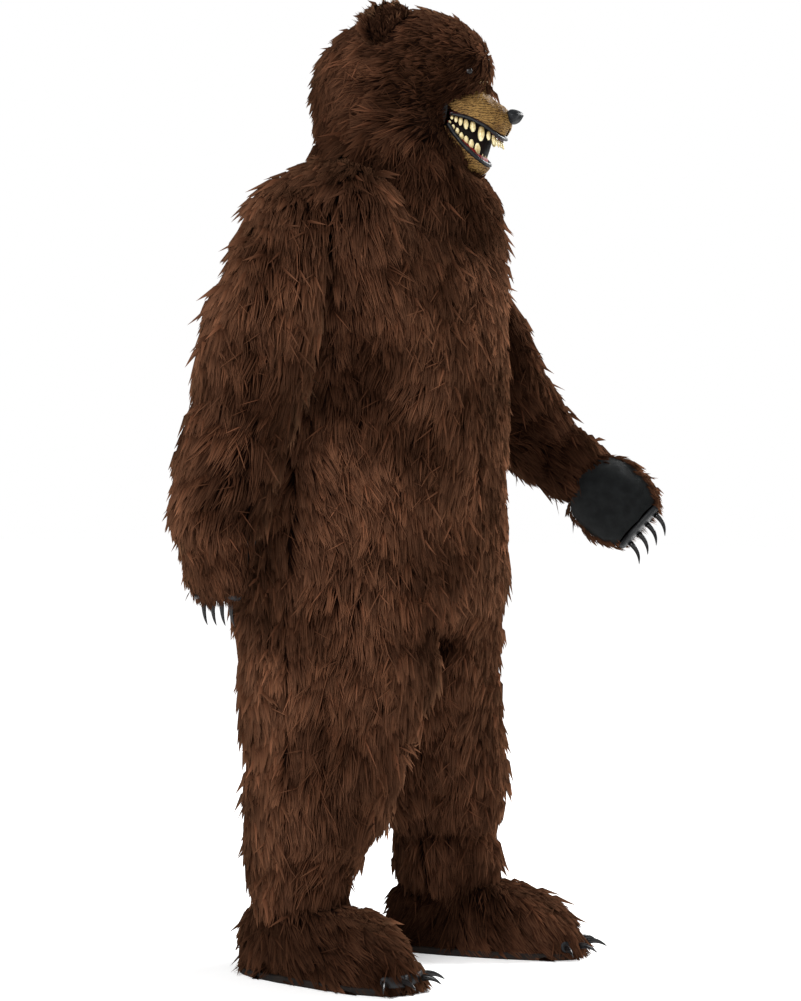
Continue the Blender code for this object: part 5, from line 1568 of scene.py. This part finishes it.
    def build_soft_parts(self) -> None:
        """Round off the lips, gums and tongue and dress them."""
        parts = (("lip_upper", LATEX, "charcoal_latex", -self.lip_swell),
                 ("lip_lower", LATEX, "charcoal_latex", self.lip_swell),
                 ("gum_upper", GUM_DARK, "mouth_flesh", 0.0),
                 ("gum_lower", FLESH, "mouth_flesh", self.soft_swell),
                 ("tongue", FLESH, "mouth_flesh", self.soft_swell))
        for number, (node, finish, slot, swell) in enumerate(parts):
            item = node_copy(node, f"{node}_moulded")
            round_off(item, 2)
            points = points_of(item)
            relief = swell + 0.0005 * ripple(points, 0.012, 40 + number)
            points = points + normals_of(item) * relief[:, None]
            if node == "gum_lower":
                points[:, 2] += self.bare_gum(HEAD.local(points))
            set_points(item, points)
            shade(item)
            ride_and_dress(item, finish, slot, node)
            log.info("%s: moulded", node)

    def bare_gum(self, local: Array) -> Array:
        """How far the lower gum's upper edge stands up in front, where the lip hangs open."""
        table = np.array(self.lower_lip)[::-1]
        lip_height = np.interp(local[:, 0] + 0.5 * self.gum_inset, table[:, 1], table[:, 3])
        upper_edge = smooth_step(local[:, 2] - lip_height, -0.002, 0.004)
        return self.gum_rise * upper_edge * smooth_step(local[:, 0], 0.148, 0.182)

    def build_cheeks(self) -> None:
        """Close the mouth's corners with a latex web from the cheeks to the lips, under short fur."""
        table = np.array(self.cheek_web)
        for side, mirror in (("right", 1.0), ("left", -1.0)):
            rear = np.stack([table[:, 1], table[:, 2] * mirror, table[:, 0]], axis=1)
            front = np.stack([table[:, 3], table[:, 4] * mirror, table[:, 0]], axis=1)
            points = np.concatenate([rear, (rear + front) / 2, front])
            rows = len(table)
            faces = []
            for column in range(2):
                for row in range(rows - 1):
                    low = column * rows + row
                    quad = (low, low + 1, low + rows + 1, low + rows)[::int(mirror)]
                    faces += [(quad[0], quad[1], quad[2]), (quad[0], quad[2], quad[3])]
            item = mesh_piece(f"cheek_web_{side}", HEAD.place(points), np.array(faces))
            round_off(item, 2)
            middle = HEAD.place(self.cheek_middle)
            if np.sum(normals_of(item) * (points_of(item) - middle)) < 0.0:
                item.data.flip_normals()
            surface = RootSurface.of(item, np.full(len(item.data.vertices), self.cheek_depth))
            self.edge_pile.cover(f"cheek_fur_{side}", surface, Sweep.HOOD, 95, PILE_DARK)
            finish_with(item, "SOLIDIFY", thickness=self.cheek_wall, offset=-1.0)
            shade(item)
            ride_and_dress(item, LATEX, "charcoal_latex")
            log.info("cheek_web_%s: latex web", side)

    def build_nose(self) -> None:
        """Round off the nose, undercut it to a wedge and sink its nostrils."""
        item = node_copy("nose", "nose_tip")
        round_off(item, 3)
        points = points_of(item) + normals_of(item) * self.nose_swell
        below = np.maximum(self.nose_middle - HEAD.local(points)[:, 2], 0.0)
        set_points(item, points - np.outer(below * self.nose_wedge, HEAD.forward))
        points, normals = points_of(item), normals_of(item)
        local = HEAD.local(points)
        for place in self.nostril_places:
            away = (local - np.array(place)) / self.nostril_size
            sink = self.nostril_depth * np.exp(-np.sum(away ** 2, axis=1))
            points = points - normals * sink[:, None]
        groove = self.nose_groove * np.exp(-(local[:, 1] / self.nose_groove) ** 2)
        groove *= smooth_step(local[:, 0], 0.250, 0.262)
        set_points(item, points - normals * groove[:, None])
        shade(item, 70.0)
        ride_and_dress(item, NOSE_SKIN, "gloss_black", "nose")
        log.info("nose: nostrils sunk")

    def build_eyes(self) -> None:
        """Round off the eyes into glossy domes."""
        for side in SIDES:
            moulded(f"eye_{side}", f"eye_{side}_dome", EYE_GLASS, "gloss_black", 70.0)
            log.info("eye_%s: dome", side)

    def build_ears(self) -> None:
        """Round off the stuffed ears, seat them on the hood's cloth and grow pile on them."""
        pile = Pile(locks_per_square_metre=230000.0, length_per_depth=2.1, lock_width=0.0016, lift=1.05,
                    overlap=0.0030, fine=Tufts(share=0.20, pull=0.35, turn=0.14, lift=0.15),
                    coarse=Tufts(share=0.05, pull=0.12, turn=0.12, lift=0.16))
        for number, side in enumerate(SIDES):
            item = node_copy(f"ear_{side}", f"ear_{side}_form")
            round_off(item, 2)
            points, normals = points_of(item), normals_of(item)
            foot = smooth_step(points[:, 2], points[:, 2].min() + 0.055, points[:, 2].min())
            seat = unit(HEAD.place(self.head_middle) - points) * (foot * self.ear_seat)[:, None]
            set_points(item, points - normals * self.ear_sink + seat + DOWN * self.ear_drop)
            # The ear's front hollow gets shorter pile and painted shade; the rest of the ear is a little
            # lighter.
            inside = smooth_step(normals_of(item) @ unit(HEAD.forward + HEAD.right * 0.3), 0.35, 0.75)
            depth = self.ear_depth * (1.0 - inside) + self.ear_hollow_depth * inside
            surface = RootSurface.of(item, depth, 0.10 - 0.50 * inside)
            shade(item)
            ride_and_dress(item, BACKING, "brown_fur", f"ear_{side}")
            pile.cover(f"ear_{side}_pile", surface, Sweep.EAR, 70 + number, PILE_DARK)

    def build_hood(self) -> None:
        """Build both halves of the fur hood with its bib."""
        pile = Pile(locks_per_square_metre=76000.0, lock_width=0.0019, lift=1.30, longest=0.062, swirl=0.30,
                    stray_share=0.10, overlap=0.0060)
        for number, side in enumerate(SIDES):
            FurCloth(f"hood_{side}", Sweep.HOOD, self.hood_flat, pile=pile, held=Held.STRETCHED,
                     finish=PILE_DARK, seed=21 + number, creases=self.hood_creases, levels=2).build()

    def build(self) -> None:
        """Build every piece of the mask."""
        self.build_hood()
        self.build_ears()
        self.build_snout()
        self.build_cheeks()
        self.build_soft_parts()
        self.build_lining()
        master = self.model_tooth()
        self.build_teeth("teeth_upper", self.upper_lip, self.upper_teeth, -1.0, master)
        self.build_teeth("teeth_lower", self.lower_lip, self.lower_teeth, 1.0, master)
        bpy.data.objects.remove(master)
        self.build_nose()
        self.build_eyes()


@dataclass
class Mitts:
    """Both mitts: fur back, plain palm, moulded finger pads and claws."""

    back_flat: tuple[float, float] = (0.21, 0.20)
    palm_flat: tuple[float, float] = (0.20, 0.18)
    knuckle_height: float = 0.0032
    knuckle_spread: float = 0.024
    palm_area_share: float = 0.92
    rim_width: float = 0.017

    def cover_rim(self, item: bpy.types.Object, side: str, sweep: Sweep, seed: int) -> None:
        """Let the back's fur facing lap over the palm cloth's rim.

        Args:
            item: The palm cloth.
            side: Right or left.
            sweep: Which way the mitt's pile is brushed.
            seed: Picks the random places.
        """
        points = points_of(item)
        away = away_from(surface_tree(f"mitt_back_{side}"), points)
        away += 0.004 * ripple(points, 0.030, seed + 7)
        axis = unit(np.array(MITT_AXES[sweep]))
        middle = points.mean(axis=0)
        outline = (points - middle) - np.outer((points - middle) @ axis, axis)
        outer_face = np.sum(normals_of(item) * outline, axis=1) > 0.0
        depth = 0.0085 * smooth_step(self.rim_width - away, -0.002, self.rim_width)
        surface = RootSurface.of(item, depth, wanted=outer_face & (away < self.rim_width))
        pile = Pile(locks_per_square_metre=110000.0, length_per_depth=4.5, lock_width=0.0024)
        pile.cover(f"mitt_rim_{side}", surface, sweep, seed + 3, PILE)

    def build_palm(self, side: str, sweep: Sweep, seed: int) -> None:
        """Make the palm cloth: the thin wall itself, with a few soft creases."""
        item = node_copy(f"mitt_palm_{side}", f"mitt_palm_{side}_cloth")
        round_off(item, 2)
        points = points_of(item)
        relief = 0.0011 * ripple(points, 0.060, seed) + 0.0005 * ripple(points, 0.024, seed + 1)
        set_points(item, points + unit(points - points.mean(axis=0)) * relief[:, None])
        self.cover_rim(item, side, sweep, seed)
        shade(item)
        ride_and_dress(item, CLOTH, "black_cloth", f"mitt_palm_{side}")
        log.info("mitt_palm_%s: palm cloth", side)

    def build_pads(self, side: str) -> None:
        """Round off the moulded finger pads and raise a knuckle at each claw."""
        item = node_copy(f"mitt_pad_{side}", f"mitt_pad_{side}_moulded")
        round_off(item, 2)
        points, normals = points_of(item), normals_of(item)
        for number in range(1, 5):
            low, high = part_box(f"mitt_claw_{side}_{number}")
            seat = (np.array(low) + np.array(high)) / 2
            away = np.linalg.norm(points - seat, axis=1)
            knuckle = self.knuckle_height * np.exp(-(away / self.knuckle_spread) ** 2)
            points = points + normals * knuckle[:, None]
        set_points(item, points)
        shade(item)
        ride_and_dress(item, LATEX, "charcoal_latex", f"mitt_pad_{side}")
        log.info("mitt_pad_%s: finger pads", side)

    def build(self) -> None:
        """Build both mitts."""
        pile = Pile(locks_per_square_metre=80000.0, lock_width=0.0024, lift=1.1)
        for number, (side, sweep) in enumerate((("right", Sweep.RIGHT_MITT), ("left", Sweep.LEFT_MITT))):
            FurCloth(f"mitt_back_{side}", sweep, self.back_flat, pile=pile, held=Held.STRETCHED,
                     seed=31 + number).build()
            self.build_palm(side, sweep, 61 + number)
            self.build_pads(side)
        Claws("mitt_claw").build()


@dataclass
class Claws:
    """Hooked claws, a row of four on each side."""

    prefix: str
    rows: int = 4

    def build(self) -> None:
        """Round off each claw and dress it as horn."""
        for side in SIDES:
            for number in range(1, self.rows + 1):
                node = f"{self.prefix}_{side}_{number}"
                moulded(node, f"{node}_horn", HORN, "gloss_black", 80.0)
        log.info("%s: %d claws", self.prefix, self.rows * 2)


@dataclass
class ShoeCovers:
    """Both shoe covers: fur upper, rubber sole, moulded toe pads and claws."""

    upper_flat: tuple[float, float] = (0.62, 0.40)

    def build(self) -> None:
        """Build both shoe covers."""
        pile = Pile(locks_per_square_metre=56000.0, lift=1.0)
        for number, (side, sweep) in enumerate((("right", Sweep.RIGHT_SHOE), ("left", Sweep.LEFT_SHOE))):
            FurCloth(f"shoe_{side}", sweep, self.upper_flat, pile=pile, held=Held.STRETCHED,
                     finish=PILE_DARK, seed=41 + number).build()
            moulded(f"toe_pad_{side}", f"toe_pad_{side}_moulded", LATEX, "charcoal_latex")
            sole = node_copy(f"sole_{side}", f"sole_{side}_moulded")
            finish_with(sole, "BEVEL", width=0.003, segments=3, limit_method="ANGLE",
                        angle_limit=math.radians(50))
            shade(sole)
            ride_and_dress(sole, SOLE, "sole_rubber", f"sole_{side}")
            log.info("shoe_%s: sole and toe pads", side)
        Claws("foot_claw").build()


@dataclass
class Studio:
    """Pale floor, soft lights and the camera of the photograph.

    The floor's fade has a row for each end, with its distance and glow. A light's row holds its name,
    place, aim, side and power.
    """

    camera_place: Place = (-4.127, -2.451, -0.58)
    camera_turn: float = math.radians(-60.0)
    lens: float = 86.31
    floor_half: float = 40.0
    floor_fade: Rows = ((1.2, 0.30), (5.0, 0.80))
    room_light: float = 0.32
    lights: tuple[tuple[str, Place, Place, float, float], ...] = (
        ("front_window", (3.0, -1.7, 1.5), (0.0, 0.0, -0.3), 1.8, 380.0),
        ("near_softbox", (-3.8, -0.2, 1.1), (0.0, 0.0, -0.6), 1.7, 170.0),
        ("camera_softbox", (-3.2, -3.4, 1.2), (0.0, 0.0, -0.5), 2.0, 36.0))

    def build_floor(self) -> None:
        """Lay a large pale floor that glows up to white away from the costume."""
        bpy.ops.object.select_all(action="DESELECT")
        bpy.ops.mesh.primitive_plane_add(size=2 * self.floor_half, location=(0.0, 0.0, FLOOR))
        floor = bpy.context.object
        floor.name = "studio_floor"
        shader = Shader("studio_floor")
        shader.set(Base_Color=(0.90, 0.90, 0.90, 1.0), Roughness=0.9, Specular_IOR_Level=0.1,
                   Emission_Strength=1.0)
        place = shader.node("ShaderNodeTexCoord")
        away = shader.node("ShaderNodeVectorMath", operation="LENGTH")
        shader.link(place.outputs["Object"], away.inputs[0])
        fade = shader.node("ShaderNodeMapRange", interpolation_type="SMOOTHSTEP")
        for end, (distance, brightness) in zip(("Min", "Max"), self.floor_fade):
            fade.inputs[f"From {end}"].default_value = distance
            fade.inputs[f"To {end}"].default_value = brightness
        shader.link(away.outputs["Value"], fade.inputs["Value"])
        shader.link(fade.outputs["Result"], shader.surface.inputs["Emission Color"])
        floor.data.materials.append(shader.made)

    def add_light(self, name: str, place: Place, aim: Place, size: float, power: float) -> None:
        """Hang a soft square light.

        Args:
            name: The light's name.
            place: Where it hangs.
            aim: What it faces.
            size: Its side in metres.
            power: Its power in watts.
        """
        data = bpy.data.lights.new(name, "AREA")
        data.size = size
        data.energy = power
        item = placed(name, data)
        item.location = place
        item.rotation_euler = (Vector(aim) - Vector(place)).to_track_quat("-Z", "Y").to_euler()

    def build_world(self) -> None:
        """White behind the object, softer where it lights it."""
        world = bpy.data.worlds.new("studio_world")
        bpy.context.scene.world = world
        world.use_nodes = True
        tree = world.node_tree
        background = tree.nodes["Background"]
        background.inputs["Color"].default_value = (1.0, 1.0, 1.0, 1.0)
        path = tree.nodes.new("ShaderNodeLightPath")
        strength = tree.nodes.new("ShaderNodeMapRange")
        strength.inputs["To Min"].default_value = self.room_light
        strength.inputs["To Max"].default_value = 1.0
        tree.links.new(path.outputs["Is Camera Ray"], strength.inputs["Value"])
        tree.links.new(strength.outputs["Result"], background.inputs["Strength"])

    def build(self) -> None:
        """Build the studio."""
        self.build_floor()
        self.build_world()
        for light in self.lights:
            self.add_light(*light)
        data = bpy.data.cameras.new("photo_camera")
        data.lens = self.lens
        data.sensor_width = 36.0
        data.sensor_fit = "AUTO"
        camera = placed("photo_camera", data)
        camera.location = self.camera_place
        camera.rotation_euler = (math.pi / 2, 0.0, self.camera_turn)
        bpy.context.scene.camera = camera
        bpy.context.scene.view_settings.view_transform = "Standard"


def main() -> None:
    """Build the costume and its studio."""
    logging.basicConfig(level=logging.INFO, format="%(name)s: %(message)s")
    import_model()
    for sub_assembly in (Jumpsuit(), Mask(), Mitts(), ShoeCovers(), Studio()):
        sub_assembly.build()


if __name__ == "__main__":
    main()
